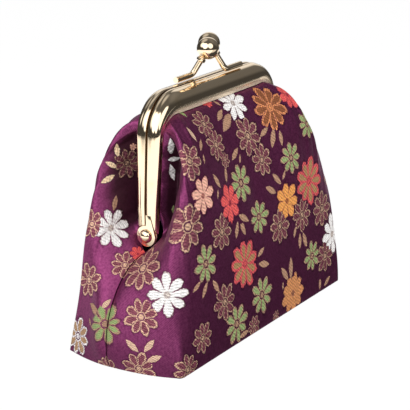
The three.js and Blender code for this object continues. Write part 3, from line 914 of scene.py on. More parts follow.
@dataclass
class FrameHalf:
    """One half of the frame: a bent channel with an ear on each foot; lengths in millimetres."""

    side: Side
    sizes: FrameSizes
    finish: bpy.types.Material
    ear_finish: bpy.types.Material
    leg_steps: int = 26
    corner_steps: int = 36
    bar_steps: int = 18
    flat_points: int = 5
    edge_points: int = 6
    crown_points: int = 11
    roll_points: int = 13
    ear_points: int = 40
    ear_bevel: float = 0.18
    bevel_segments: int = 3

    def section(self, rail: Rail) -> tuple[np.ndarray, np.ndarray]:
        """Draws the channel's outer skin at each station.

        Args:
            rail: The stations.

        Returns:
            Depth inside the outline and distance from the seam, stations by points.
        """
        s = self.sizes
        ones = np.ones_like(rail.x)[:, None]
        depth, thickness = rail.depth[:, None], rail.thickness[:, None]
        shoulder, lip, lip_height = rail.shoulder[:, None], rail.lip[:, None], rail.lip_height[:, None]
        share = np.linspace(0.0, 1.0, self.flat_points)[None, :]
        across = np.linspace(0.0, 1.0, self.crown_points)[None, 1:]
        edge = np.linspace(0.0, QUARTER_TURN, self.edge_points)[None, 1:]
        roll = np.linspace(0.0, QUARTER_TURN, self.roll_points)[None, 1:]
        top = thickness - shoulder
        deep = [
            mix(depth, s.seam_edge, share),
            ones * mix(s.seam_edge, s.crown, np.sin(edge)),
            ones * s.crown * (2.0 * across - 1.0) ** 2,
            mix(shoulder, s.crown, np.cos(roll)),
            mix(shoulder, depth - lip_height, share[:, 1:]),
            depth - lip_height * (1.0 - share[:, 1:]),
        ]
        out = [
            ones * s.half_gap + 0.0 * share,
            ones * (s.half_gap + s.seam_edge * (1.0 - np.cos(edge))),
            mix(s.half_gap + s.seam_edge, top, across),
            thickness - shoulder * (1.0 - np.sin(roll)),
            thickness + 0.0 * share[:, 1:],
            thickness - lip * share[:, 1:] ** 2,
        ]
        return np.concatenate(deep, axis=1), np.concatenate(out, axis=1)

    def stations(self) -> np.ndarray:
        """Lengths along one half of the outline, from the foot to the middle of the bar.

        Returns:
            The lengths, in order.
        """
        s = self.sizes
        leg = np.linspace(0.0, s.leg_length, self.leg_steps, endpoint=False)
        corner = s.leg_length + np.linspace(0.0, s.corner_length, self.corner_steps, endpoint=False)
        bar = s.leg_length + s.corner_length + np.linspace(0.0, s.bar_length, self.bar_steps + 1)
        return np.concatenate([leg, corner, bar])

    def build_channel(self) -> bpy.types.Object:
        """Forms the sheet-metal channel from foot to foot.

        Returns:
            The channel, with maps of its pale matt edge, which is a painted reflection of the floor, and of
            the darkening at its seam.
        """
        s = self.sizes
        length = self.stations()
        rail = s.rail(length)
        deep, out = self.section(rail)
        x = rail.x[:, None] + rail.in_x[:, None] * deep
        z = rail.z[:, None] + rail.in_z[:, None] * deep
        foot = s.pivot + np.sqrt(np.maximum(0.0, (s.ear_radius + s.ear_sweep) ** 2 - out**2))
        on_leg = (length < s.leg_length)[:, None]
        z = np.where(on_leg, mix(foot, s.corner_z, length[:, None] / s.leg_length), z)
        near, far = (np.stack([end.value * x, self.side.value * out, z], axis=-1) for end in Hand)
        points = np.concatenate([near, far[-2::-1]])
        outwards = -self.side.value
        piece = formed_grid(f"{self.side.word}_channel", points[:, ::outwards])
        # The bar's lower lip gets a pale matt band, a painted reflection of the floor.
        lip = smooth((deep - rail.depth[:, None]) / rail.lip_height[:, None] + 1.0)
        past_leg = smooth(2.0 * (length[:, None] - s.leg_length) / s.corner_length)
        matt = lip * (out > s.half_gap + s.seam_edge) * past_leg
        # Darker close to the seam between the halves.
        darkening = 1.0 - smooth((deep - s.dirt_depth) / s.dirt_depth)
        for name, half in {"matt_edge": matt, "seam_dirt": darkening}.items():
            write_attribute(piece.data, name, "POINT", mirrored(half, 0)[:, ::outwards])
        apply_modifier(piece, "SOLIDIFY", thickness=s.sheet_metal * MM, offset=-1.0, use_even_offset=True)
        smooth_shade(piece)
        return piece

    def build_ear(self, hand: Hand) -> bpy.types.Object:
        """Cuts one flat round ear with its neck.

        Args:
            hand: The end that the ear is on.

        Returns:
            The ear.
        """
        s = self.sizes
        face = s.hinge_x
        if self.side is Side.REAR:
            face -= s.ear_plate + s.hinge_clearance
        angles = np.linspace(QUARTER_TURN, TAU, self.ear_points)[1:]
        outline = [(s.half_gap, s.neck_length), (s.half_gap, s.ear_radius)]
        outline += [(s.ear_radius * math.cos(a), s.ear_radius * math.sin(a)) for a in angles]
        outline.append((s.leg_thickness - s.leg_shoulder, s.neck_length))
        points = [(hand.value * face, self.side.value * y, s.pivot + z) for y, z in outline]
        piece = formed_ring(f"{self.side.word}_{hand.word}_ear", points, "NGON")
        bpy.ops.object.mode_set(mode="EDIT")
        bpy.ops.mesh.select_all(action="SELECT")
        inwards = (-hand.value * s.ear_plate * MM, 0.0, 0.0)
        bpy.ops.mesh.extrude_region_move(TRANSFORM_OT_translate={"value": inwards})
        close_shell()
        bevel = self.ear_bevel * MM
        apply_modifier(piece, "BEVEL", width=bevel, segments=self.bevel_segments, limit_method="ANGLE")
        smooth_shade(piece)
        return piece

    def build(self) -> list[bpy.types.Object]:
        """Makes the half and hangs it on its CAD body.

        Returns:
            The channel and its two ears.
        """
        channel = self.build_channel()
        dress(channel, self.finish, self.side.body, f"{self.side.word}_frame")
        ears = [self.build_ear(hand) for hand in Hand]
        for ear in ears:
            dress(ear, self.ear_finish, self.side.body)
        return [channel, *ears]


@dataclass
class HingeRivet:
    """A rivet through a pair of ears: domed head outside, set tail inside; sizes in millimetres."""

    hand: Hand
    sizes: FrameSizes
    finish: bpy.types.Material
    shank: float = 1.2
    head: float = 2.55
    head_height: float = 1.8
    tail: float = 1.9
    tail_tip: float = 1.5
    tail_height: float = 0.7
    seat: float = 0.12
    dome_steps: int = 14
    sides: int = 40

    def build(self) -> bpy.types.Object:
        """Turns the rivet and seats it in the hinge.

        Returns:
            The rivet.
        """
        s = self.sizes
        head = s.hinge_x + self.seat
        tail = s.hinge_x - 2.0 * s.ear_plate - s.hinge_clearance - self.seat
        profile = [(tail - self.tail_height, 0.0), (tail - self.tail_height, self.tail_tip)]
        profile += [(tail, self.tail), (tail, self.shank), (head, self.shank), (head, self.head)]
        for step in range(1, self.dome_steps + 1):
            angle = step / self.dome_steps * QUARTER_TURN
            profile.append((head + self.head_height * math.sin(angle), self.head * math.cos(angle)))
        centre = Vector((0.0, 0.0, s.pivot))
        axis = Vector((self.hand.value, 0.0, 0.0))
        piece = spun(f"{self.hand.word}_rivet_turned", profile, centre, axis, self.sides)
        dress(piece, self.finish, "bag", f"{self.hand.word}_rivet")
        return piece


@dataclass
class ClaspHalf:
    """One half of the ball clasp: a bent stem with a collar, and the ball on it; sizes in millimetres."""

    side: Side
    sizes: FrameSizes
    finish: bpy.types.Material
    ball: float = 4.1
    ball_pass: float = 0.1
    ball_offset: float = 2.5
    ball_rise: float = 11.0
    ball_steps: int = 24
    ball_sides: int = 48
    socket_fit: float = 0.15
    socket_depth: float = 0.6
    socket_angle: float = 0.34
    rod: float = 1.1
    rod_seat: float = 0.1
    rod_resolution: int = 6
    foot_outer: float = 18.0
    foot_inner: float = 7.2
    foot_offset: float = 2.6
    bend: float = 1.6
    bend_resolution: int = 8
    handle_pull: float = 0.6
    collar: float = 1.7
    collar_length: float = 1.4
    collar_fit: float = 0.05
    collar_chamfer: float = 0.25
    collar_shoulder: float = 0.45
    collar_step: float = 0.1
    collar_sides: int = 32

    def places(self) -> tuple[Vector, Vector, Vector, Vector]:
        """Works out where the clasp's parts stand.

        Returns:
            The ball's centre, the stem's knee and toe, and the stem's direction.
        """
        hand = -self.side.value
        foot_z = self.sizes.top + self.rod + self.rod_seat
        ball_x = hand * (self.ball + self.ball_pass)
        ball = Vector((ball_x, -self.side.value * self.ball_offset, self.sizes.top + self.ball_rise))
        knee = Vector((hand * self.foot_inner, self.side.value * self.foot_offset, foot_z))
        toe = Vector((hand * self.foot_outer, self.side.value * self.foot_offset, foot_z))
        return ball, knee, toe, (ball - knee).normalized()

    def build_stem(self) -> bpy.types.Object:
        """Bends the stem's rod from its foot on the bar to the ball.

        Returns:
            The stem.
        """
        ball, knee, toe, axis = self.places()
        start = knee + (toe - knee).normalized() * self.bend
        end = knee + axis * self.bend
        tip = ball - axis * (self.ball - self.collar_length)
        deselect_all()
        bpy.ops.curve.primitive_bezier_curve_add()
        piece = named(bpy.context.object, f"{self.side.word}_stem")
        line = piece.data
        line.bevel_depth = self.rod * MM
        line.bevel_resolution = self.rod_resolution
        line.resolution_u = self.bend_resolution
        line.use_fill_caps = True
        points = line.splines[0].bezier_points
        points.add(2)
        places = (toe, start, end, tip)
        pulls = ((toe, start), (toe, knee), (knee, tip), (end, tip))
        keep = 1.0 - self.handle_pull
        for point, place, (before, after) in zip(points, places, pulls):
            point.handle_left_type = "FREE"
            point.handle_right_type = "FREE"
            point.co = place * MM
            point.handle_left = point.co * keep + before * MM * self.handle_pull
            point.handle_right = point.co * keep + after * MM * self.handle_pull
        only(piece)
        bpy.ops.object.convert(target="MESH")
        piece = bpy.context.object
        smooth_shade(piece)
        return piece

    def build_ball(self) -> bpy.types.Object:
        """Turns the ball with the rim of its socket.

        Returns:
            The ball.
        """
        ball, _, _, axis = self.places()
        floor = self.socket_depth - self.ball
        profile = [(floor, 0.0), (floor, self.rod + self.socket_fit)]
        for step in range(self.ball_steps + 1):
            angle = mix(self.socket_angle, math.pi, step / self.ball_steps)
            profile.append((-self.ball * math.cos(angle), self.ball * math.sin(angle)))
        return spun(f"{self.side.word}_ball", profile, ball, axis, self.ball_sides)

    def build_collar(self) -> bpy.types.Object:
        """Turns the collar below the ball.

        Returns:
            The collar.
        """
        ball, _, _, axis = self.places()
        end = -self.ball - self.socket_fit
        start = end - self.collar_length
        wide, chamfer = self.collar, self.collar_chamfer
        profile = [(start, 0.0), (start, self.rod + self.collar_fit)]
        profile += [(start + chamfer, wide - self.collar_step), (start + self.collar_shoulder, wide)]
        profile += [(end - chamfer, wide), (end, wide - chamfer), (end, 0.0)]
        return spun(f"{self.side.word}_collar", profile, ball, axis, self.collar_sides)

    def build(self) -> list[bpy.types.Object]:
        """Makes the half clasp and hangs it on its CAD body.

        Returns:
            The stem, the ball and the collar.
        """
        pieces = [self.build_stem(), self.build_ball(), self.build_collar()]
        nodes = [f"{self.side.word}_clasp_stem", f"{self.side.word}_clasp_ball", ""]
        for piece, node in zip(pieces, nodes):
            dress(piece, self.finish, self.side.body, node)
        return pieces


@dataclass(frozen=True)
class Ripple:
    """A wave over the cloth: how fast it turns across the columns and down the rows, and its start."""

    across: float
    down: float
    start: float = 0.0

    def at(self, share: np.ndarray, angle: np.ndarray, shift: Any = 0.0) -> np.ndarray:
        """Heights from -1 to 1 at columns and rows of the cloth, moved along by a shift."""
        return np.sin(self.across * share + self.down * angle + self.start + shift)


@dataclass
class BagShape:
    """The bag's cloth surface: each thread runs in a full curve from the frame to the base.

    Sizes are in millimetres. The values that place, spread or shape them along the cloth or down it are
    shares, powers and counts.
    """

    sizes: FrameSizes
    base_length: float = 116.5
    base_width: float = 50.8
    end_bow: float = 4.5
    side_tuck: float = 0.4
    base_corner: float = 2.5
    corner_ease: float = 0.3
    ridge_start: float = 0.85
    ridge_run: float = 18.0
    ridge_rise: float = 0.34
    seam_gap: float = 0.2
    brocade: float = 0.6
    lining: float = 0.35
    layer_gap: float = 0.2
    cloth_fit: float = 0.2
    ear_clearance: float = 0.8
    ear_margin: float = 0.3
    ear_hollow: float = 1.5
    seam_head_out: float = 0.5
    seam_head_drop: float = 2.2
    seam_fullness: float = 1.5
    front_fullness: float = 1.75
    rear_fullness: float = 1.3
    rear_flare: float = 0.4
    cheek: float = 9.0
    cheek_place: float = 0.37
    cheek_spread: float = 0.42
    cheek_peak: float = 0.325
    cheek_sideways: float = 0.6
    cheek_forward: float = 0.8
    swell: float = 1.5
    swell_start: float = 0.3
    swell_run: float = 0.5
    belly: float = 3.2
    belly_spread: float = 0.16
    belly_peak: float = 4.0 / 27.0
    pocket: float = 9.0
    pocket_start: float = 0.4
    pocket_place: float = 0.17
    pocket_spread: float = 0.2
    pocket_fade: float = 0.17
    seam_draw: float = 0.9
    seam_draw_spread: float = 0.035
    seam_crease: float = 1.2
    seam_crease_spread: float = 0.012
    seam_crease_fill: float = 1.6
    seam_drift: float = 2.6
    seam_drift_spread: float = 0.12
    seam_sway: float = 1.5
    gathers: int = 6
    gather_depth: float = 0.8
    gather_reach: float = 0.16
    pleat_share: float = 0.3
    pleats_per_gather: float = 2.6
    pleat_start: float = 1.3
    tuck_run: float = 3.0
    crumple: float = 0.18
    crumple_start: float = 0.03
    crumple_run: float = 0.12
    crumple_warp: float = 1.3
    warp_wave: Ripple = Ripple(3.1, 2.2, 0.4)
    fine_wave: Ripple = Ripple(27.0, 4.0)
    broad_wave: Ripple = Ripple(-9.0, 11.0)
    lug_folds: float = 0.9
    lug_fold_count: float = 4.0
    lug_fold_width: float = 0.17
    lug_fold_height: float = 0.5
    lug_fold_start: float = 0.1
    row_crowding: float = 1.3
    tuck_rows: int = 3
    base_rows: int = 7

    def __post_init__(self) -> None:
        """Works out the cloth's edge and foot lines."""
        s = self.sizes
        self.cloth_start = s.neck_length + self.ear_clearance
        head_z = s.pivot - s.ear_radius - self.seam_head_drop
        head = (s.hinge_x + self.seam_head_out, self.seam_gap, head_z)
        hollow_x = s.hinge_x - s.leg_depth - self.ear_hollow
        hollow = (hollow_x, 2.0 * (s.ear_radius + self.ear_margin), s.pivot)
        leg = self.at_rail(np.array([self.cloth_start]))[0][0]
        self.edge_curve = ArcCurve.through((head, hollow, leg))
        self.mouth_length = self.edge_curve.length + s.rail_length - self.cloth_start
        self.edge_share = self.edge_curve.length / self.mouth_length
        self.corner_share = (self.edge_curve.length + s.leg_length - self.cloth_start) / self.mouth_length
        self.bar_share = 1.0 - s.bar_length / self.mouth_length
        self.draw_foot_lines()

    def draw_foot_lines(self) -> None:
        """Draws half the base's outline, and the eased one that a soft ridge has above it."""
        end_x, side_y = self.base_length / 2.0, self.base_width / 2.0
        middle_y = side_y - self.side_tuck
        end = np.array([end_x + self.end_bow, self.seam_gap])
        bow = np.array([end_x + self.end_bow, side_y / 2.0])
        turn_in = np.array([end_x + self.corner_ease, side_y - self.base_corner])
        turn_out = np.array([end_x - self.base_corner, side_y - self.corner_ease])
        run_in, middle = (end_x / 2.0, middle_y), (0.0, middle_y)
        self.base_curve = ArcCurve.through(
            (end, bow, turn_in), (turn_in, (end_x, side_y), turn_out), (turn_out, run_in, middle)
        )
        leave = mix(end, bow, self.ridge_start)
        ease_in = mix(leave, mix(bow, turn_in, self.ridge_start), self.ridge_start)
        ease_out = np.array([end_x - self.ridge_run, side_y - self.corner_ease])
        climb = (ease_out[1] - ease_in[1]) / (ease_in[1] - leave[1])
        corner = mix(leave, ease_in, 1.0 + climb)
        self.eased_curve = ArcCurve.through(
            (end, leave, ease_in), (ease_in, corner, ease_out), (ease_out, run_in, middle)
        )

    def at_rail(self, length: np.ndarray) -> tuple[np.ndarray, np.ndarray, np.ndarray, np.ndarray]:
        """Where the cloth meets the channel's mouth.

        Args:
            length: Lengths along the frame's outline.

        Returns:
            Points, the two parts of the inward direction and how far the cloth is tucked in.
        """
        s = self.sizes
        rail = s.rail(length)
        deep = rail.depth + self.cloth_fit
        y = rail.thickness - rail.lip - s.sheet_metal - self.cloth_fit
        points = np.stack([rail.x + rail.in_x * deep, y, rail.z + rail.in_z * deep], axis=-1)
        tuck = (deep - rail.shoulder) * smooth((length - self.cloth_start) / self.tuck_run)
        return points, rail.in_x, rail.in_z, tuck

    def edge(self, share: np.ndarray) -> tuple[np.ndarray, np.ndarray, np.ndarray, np.ndarray]:
        """The cloth's upper edge, free beside the hinge and then in the channel.

        Args:
            share: Shares of the way from the side seam to the bar's middle.

        Returns:
            What at_rail gives, at each share.
        """
        length = share * self.mouth_length
        past_edge = length - self.edge_curve.length + self.cloth_start
        on_rail = np.clip(past_edge, self.cloth_start, self.sizes.rail_length)
        points, in_x, in_z, tuck = self.at_rail(on_rail)
        free = share < self.edge_share
        points[free] = self.edge_curve.at(length[free] / self.edge_curve.length)
        return points, np.where(free, -1.0, in_x), np.where(free, 0.0, in_z), np.where(free, 0.0, tuck)

    def come_out(self, share: np.ndarray, angle: np.ndarray, side: Side) -> np.ndarray:
        """How far the cloth has come from the frame to the base; both sides are alike at the seam.

        Args:
            share: Columns, as shares from a side seam to the middle.
            angle: Rows, from 0 at the frame to a quarter turn at the base.
            side: The half of the bag.

        Returns:
            Shares from 0 to 1.
        """
        turn = smooth(share / self.edge_share)
        is_front = side is Side.FRONT
        fullness = mix(self.seam_fullness, self.front_fullness if is_front else self.rear_fullness, turn)
        flare = 0.0 if is_front else self.rear_flare
        return mix(np.sin(angle) ** fullness, 1.0 - np.cos(angle), flare * turn)

    def gathering(self, share: np.ndarray) -> np.ndarray:
        """The wave of the gathers along the edge, deepest at the corner, with finer pleats between.

        Args:
            share: Columns, as shares from a side seam to the middle.

        Returns:
            Heights about 0.
        """
        turns = (share - self.edge_share) / (self.bar_share - self.edge_share)
        depth = np.where((turns > 0.0) & (turns < 1.0), np.sin(math.pi * np.clip(turns, 0.0, 1.0)), 0.0)
        broad = np.cos(TAU * self.gathers * turns)
        pleats = np.cos(TAU * self.pleats_per_gather * self.gathers * turns + self.pleat_start)
        return depth * (broad + self.pleat_share * pleats)

    def pockets(self, share: np.ndarray, angle: np.ndarray) -> np.ndarray:
        """How far, from 0 to 1, the cloth sinks into the deep fold beside a leg.

        Args:
            share: Columns, as shares from a side seam to the middle.
            angle: Rows, from 0 at the frame to a quarter turn at the base.

        Returns:
            Shares of the pocket's depth.
        """
        start = smooth((share / self.edge_share - self.pocket_start) / (1.0 - self.pocket_start))
        beside_leg = start * (1.0 - smooth((share - self.corner_share) / self.pocket_fade + 0.5))
        leave = np.sin(angle)
        beyond = np.maximum(leave - self.pocket_place, 0.0)
        return beside_leg * smooth(leave / self.pocket_place) * bump(beyond, 0.0, self.pocket_spread)

    def wrinkles(self, share: np.ndarray, angle: np.ndarray) -> np.ndarray:
        """Soft wrinkles over the whole cloth and folds that spread from below the hinge.

        Args:
            share: Columns, as shares from a side seam to the middle.
            angle: Rows, from 0 at the frame to a quarter turn at the base.

        Returns:
            Heights in millimetres.
        """
        warp = self.crumple_warp * self.warp_wave.at(share, angle)
        waves = self.fine_wave.at(share, angle, 2.0 * warp) + self.broad_wave.at(share, angle, warp)
        off_seam = smooth((share - self.crumple_start) / self.crumple_run)
        soft = self.crumple * np.sin(2.0 * angle) ** 2 * waves * off_seam
        right, down = share / self.lug_fold_width, np.sin(angle) / self.lug_fold_height
        fan = np.cos(self.lug_fold_count * np.arctan2(down, right + TINY))
        spread = fan * np.exp(-(right**2 + down**2))
        return soft - self.lug_folds * spread * smooth(np.sin(angle) / self.lug_fold_start)

    def foot(self, share: np.ndarray, rise: np.ndarray, side: Side, hand: Hand) -> np.ndarray:
        """Where each thread is led to: two ridges across from each other are soft above the base.

        Args:
            share: Columns, as shares from a side seam to the middle.
            rise: Height of each row, from 1 at the frame to 0 at the base.
            side: The half of the bag.
            hand: The end of the bag.

        Returns:
            Rows by columns of places on the floor.
        """
        crisp = self.base_curve.at(share)[None]
        soft = float(side.value == hand.value) * smooth(rise / self.ridge_rise)
        return mix(crisp, self.eased_curve.at(share)[None], soft[..., None])

    def wall(
        self, share: np.ndarray, angle: np.ndarray, side: Side, hand: Hand, gathers: float
    ) -> np.ndarray:
        """The cloth between the frame and the base.

        Args:
            share: Columns, as shares from a side seam to the middle.
            angle: Rows, from 0 at the frame to a quarter turn at the base.
            side: The half of the bag.
            hand: The end of the bag.
            gathers: Depth of the gathers.

        Returns:
            Rows by columns of points, with X and Y counted outwards.
        """
        edge, in_x, in_z, _ = self.edge(share)
        a, u = angle[:, None], share[None, :]
        out = self.come_out(u, a, side)
        leave, rise = np.sin(a), np.cos(a)
        foot = self.foot(share, rise, side, hand)
        puff = leave * rise**3 / self.cheek_peak
        cheek = self.cheek * bump(u, self.cheek_place, self.cheek_spread) * puff
        swell = self.swell * smooth((u - self.swell_start) / self.swell_run) * puff
        belly = self.belly * bump(u, 0.0, self.belly_spread) * rise * (1.0 - rise) ** 2 / self.belly_peak
        down_seam = smooth(self.seam_crease_fill * np.sin(2.0 * a))
        crease = self.seam_crease * bump(u, 0.0, self.seam_crease_spread) * down_seam
        draw = self.seam_draw * bump(u, 0.0, self.seam_draw_spread) * np.sin(2.0 * a) + crease
        pocket = self.pocket * self.pockets(u, a)
        ripple = gathers * self.gathering(u) * fold(leave, self.gather_reach) + self.wrinkles(u, a)
        reach = foot[-1] - edge[:, :2]
        reach = reach / np.linalg.norm(reach, axis=1, keepdims=True)
        sideways = self.cheek_sideways * cheek + belly - draw + in_x * pocket
        forward = self.cheek_forward * cheek * smooth(u / self.edge_share) + swell
        x = mix(edge[:, 0], foot[..., 0], out) + sideways + reach[:, 0] * ripple
        y = mix(edge[:, 1], foot[..., 1], out) + forward + reach[:, 1] * ripple
        z = edge[:, 2] * rise + in_z * pocket
        return np.stack([x, np.maximum(y, self.seam_gap), z], axis=-1)

    def columns(self, edge: int, gathered: int, top: int) -> np.ndarray:
        """Places the columns of one half of a grid, closer together where the cloth is gathered.

        Args:
            edge: Columns along the free edge.
            gathered: Columns along the gathers.
            top: Columns below the bar.

        Returns:
            Shares from the side seam to the middle.
        """
        parts = [
            np.linspace(0.0, self.edge_share, edge, endpoint=False),
            np.linspace(self.edge_share, self.bar_share, gathered, endpoint=False),
            np.linspace(self.bar_share, 1.0, top + 1),
        ]
        return np.concatenate(parts)

    def row_angles(self, rows: int) -> np.ndarray:
        """Places of all a grid's rows on the wall's curve, those in the channel and below the base too."""
        wall = np.linspace(0.0, 1.0, rows + 1) ** self.row_crowding * QUARTER_TURN
        return np.concatenate([np.zeros(self.tuck_rows), wall, np.full(self.base_rows, QUARTER_TURN)])

    def drift(self, share: np.ndarray, rows: int) -> np.ndarray:
        """How far back the swaying side seams draw each point of a grid.

        Args:
            share: Columns of one half.
            rows: Rows down the wall.

        Returns:
            Distances in millimetres, rows by columns.
        """
        angle = self.row_angles(rows)
        sway = self.seam_drift * np.sin(angle) * (1.0 + self.seam_sway * np.cos(angle))
        return mirrored(sway[:, None] * bump(share, 0.0, self.seam_drift_spread)[None, :], 1)

    def end_grid(
        self, side: Side, hand: Hand, share: np.ndarray, rows: int, gathers: float
    ) -> np.ndarray:
        """The cloth from one side seam to the middle of a side.

        Args:
            side: The half of the bag.
            hand: The end of the bag.
            share: Columns of one half.
            rows: Rows down the wall.
            gathers: Depth of the gathers.

        Returns:
            Rows by columns of points, from inside the channel to the seam below the base.
        """
        edge, in_x, in_z, tuck = self.edge(share)
        angle = self.row_angles(rows)[self.tuck_rows : -self.base_rows]
        wall = self.wall(share, angle, side, hand, gathers)
        wall[-1, :, 2] = 0.0
        inside = []
        for part in np.linspace(1.0, 0.0, self.tuck_rows, endpoint=False):
            inside.append(edge - np.stack([in_x * tuck, 0.0 * tuck, in_z * tuck], axis=-1) * part)
        under = []
        for part in np.linspace(0.0, 1.0, self.base_rows + 1)[1:]:
            row = wall[-1].copy()
            row[:, 1] = mix(row[:, 1], self.seam_gap, part)
            under.append(row)
        half = np.concatenate([np.stack(inside), wall, np.stack(under)])
        return half * np.array([hand.value, side.value, 1.0])

    def grid(self, side: Side, share: np.ndarray, rows: int, gathers: float) -> np.ndarray:
        """The whole cloth of one side before its drift: in the channel, down the wall and below the base.

        Args:
            side: The half of the bag.
            share: Columns of one half.
            rows: Rows down the wall.
            gathers: Depth of the gathers.

        Returns:
            Rows by columns of points that face outwards.
        """
        left, right = (self.end_grid(side, hand, share, rows, gathers) for hand in Hand)
        whole = np.concatenate([left, right[:, -2::-1]], axis=1)
        return whole[:, ::-1] if side is Side.FRONT else whole


@dataclass
class ClothPanel:
    """One sheet of the bag: brocade outside or lining inside; heights in millimetres."""

    side: Side
    shape: BagShape
    finish: bpy.types.Material
    edge_columns: int = 22
    gather_columns: int = 12
    bar_columns: int = 20
    wall_rows: int = 92
    lining_columns: tuple[int, int, int] = (10, 30, 8)
    lining_rows: int = 40
    crease_angle: float = 60.0
    bend_start: float = 20.0
    bend_end: float = 52.0

    def weave_map(self, piece: bpy.types.Object, points: np.ndarray) -> None:
        """Writes the cloth's own coordinates, in millimetres, to its UV map.

        Args:
            piece: The sheet, before it gets its thickness.
            points: Its rows by columns of points.
        """
        u = summed(gaps(points, 1).mean(axis=0))
        v = summed(gaps(points, 0).mean(axis=1))
        places = np.stack(np.broadcast_arrays(u[None, :], v[:, None]), axis=-1).reshape(-1, 2)
        corners = read_values(piece.data.loops, "vertex_index", kind=np.int32)
        layer = piece.data.uv_layers[0]
        layer.name = "weave"
        layer.data.foreach_set("uv", places[corners].astype(np.float32).ravel())

    def shade_map(self, piece: bpy.types.Object, share: np.ndarray) -> None:
        """Writes how deep each point lies in the folds beside the legs, for the painted shade in them."""
        half = self.shape.pockets(share[None, :], self.shape.row_angles(self.wall_rows)[:, None])
        write_attribute(piece.data, "fold_dusk", "POINT", mirrored(half, 1))

    def hang(self, piece: bpy.types.Object, node: str) -> None:
        """Args:
            piece: The sheet.
            node: The CAD node that it stands for.
        """
        smooth_shade(piece, self.crease_angle)
        piece.data.materials.append(self.finish)
        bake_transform(piece)
        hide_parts(node)

    def build_brocade(self) -> bpy.types.Object:
        """Forms the outer sheet with its gathers.

        Returns:
            The brocade sheet.
        """
        shape = self.shape
        share = shape.columns(self.edge_columns, self.gather_columns * shape.gathers, self.bar_columns)
        points = shape.grid(self.side, share, self.wall_rows, shape.gather_depth)
        points[..., 1] += shape.drift(share, self.wall_rows)
        piece = formed_grid(f"{self.side.word}_brocade", points)
        self.weave_map(piece, points)
        self.shade_map(piece, share)
        apply_modifier(piece, "SOLIDIFY", thickness=shape.brocade * MM, offset=-1.0)
        self.hang(piece, f"{self.side.word}_panel")
        return piece

    def build_lining(self) -> bpy.types.Object:
        """Forms the inner sheet, a little inside the brocade.

        Returns:
            The lining sheet.
        """
        shape = self.shape
        share = shape.columns(*self.lining_columns)
        points = shape.grid(self.side, share, self.lining_rows, 0.0)
        piece = formed_grid(f"{self.side.word}_inner", points)
        depth = shape.brocade + shape.layer_gap + shape.gather_depth
        normals = read_values(piece.data.vertex_normals, "vector", 3, np.float32)
        inset = points - normals.reshape(points.shape) * depth
        inset[..., 1] = self.side.value * np.maximum(self.side.value * inset[..., 1], shape.seam_gap)
        inset[..., 1] += shape.drift(share, self.lining_rows)
        move_vertices(piece, inset)
        apply_modifier(piece, "SOLIDIFY", thickness=shape.lining * MM, offset=-1.0)
        self.hang(piece, f"{self.side.word}_lining")
        return piece


@dataclass(frozen=True)
class PhotoCamera:
    """The camera at the photograph's viewing angle; places in millimetres, angles in degrees."""

    azimuth: float = -56.576
    elevation: float = 17.537
    roll: float = -0.789
    focal_px: float = 1448.344
    frame_px: float = 410.0
    place: tuple[float, float, float] = (-440.321, -288.091, 210.273)
    sensor: float = 36.0

    def axes(self) -> tuple[Vector, Vector, Vector]:
        """Works out how the camera is turned.

        Returns:
            Its right, up and backward directions.
        """
        turn, roll = math.radians(self.azimuth), math.radians(self.roll)
        back = direction(self.azimuth, self.elevation)
        right = Vector((math.cos(turn), math.sin(turn), 0.0))
        up = back.cross(right)
        rolled_right = right * math.cos(roll) + up * math.sin(roll)
        return rolled_right, up * math.cos(roll) - right * math.sin(roll), back

    def ray(self, px: float, py: float) -> tuple[Vector, Vector]:
        """Follows a pixel of the photograph into the scene.

        Args:
            px: The pixel's column.
            py: The pixel's row.

        Returns:
            The ray's start and direction, in metres.
        """
        right, up, back = self.axes()
        middle = self.frame_px / 2.0
        across, down = (px - middle) / self.focal_px, (py - middle) / self.focal_px
        return Vector(self.place) * MM, (right * across - up * down - back).normalized()

    def build(self) -> None:
        """Adds the camera and makes it the scene's."""
        deselect_all()
        bpy.ops.object.camera_add()
        camera = named(bpy.context.object, "photo_camera")
        turn = Matrix(self.axes()).transposed().to_4x4()
        camera.matrix_world = Matrix.Translation(Vector(self.place) * MM) @ turn
        camera.data.sensor_width = self.sensor
        camera.data.lens = self.sensor * self.focal_px / self.frame_px
        bpy.context.scene.camera = camera


@dataclass(frozen=True)
class Weave:
    """Threads of one kind of motif."""

    rim: Colour
    fill: Colour
    rim_width: float
    fullness: float = 0.84
    core: float = 0.2
    petals: int = 8
    leaf: bool = False
    gilt: float = 0.0

    @property
    def wedge(self) -> float:
        """Half width of a petal for each part of its length."""
        return self.fullness * math.tan(math.pi / self.petals)


GOLD_THREAD: Colour = (255, 212, 176)
TAN_THREAD: Colour = (178, 138, 110)
WHITE_THREAD: Colour = (250, 247, 245)
GREEN_THREAD: Colour = (148, 166, 108)
RED_THREAD: Colour = (230, 90, 88)


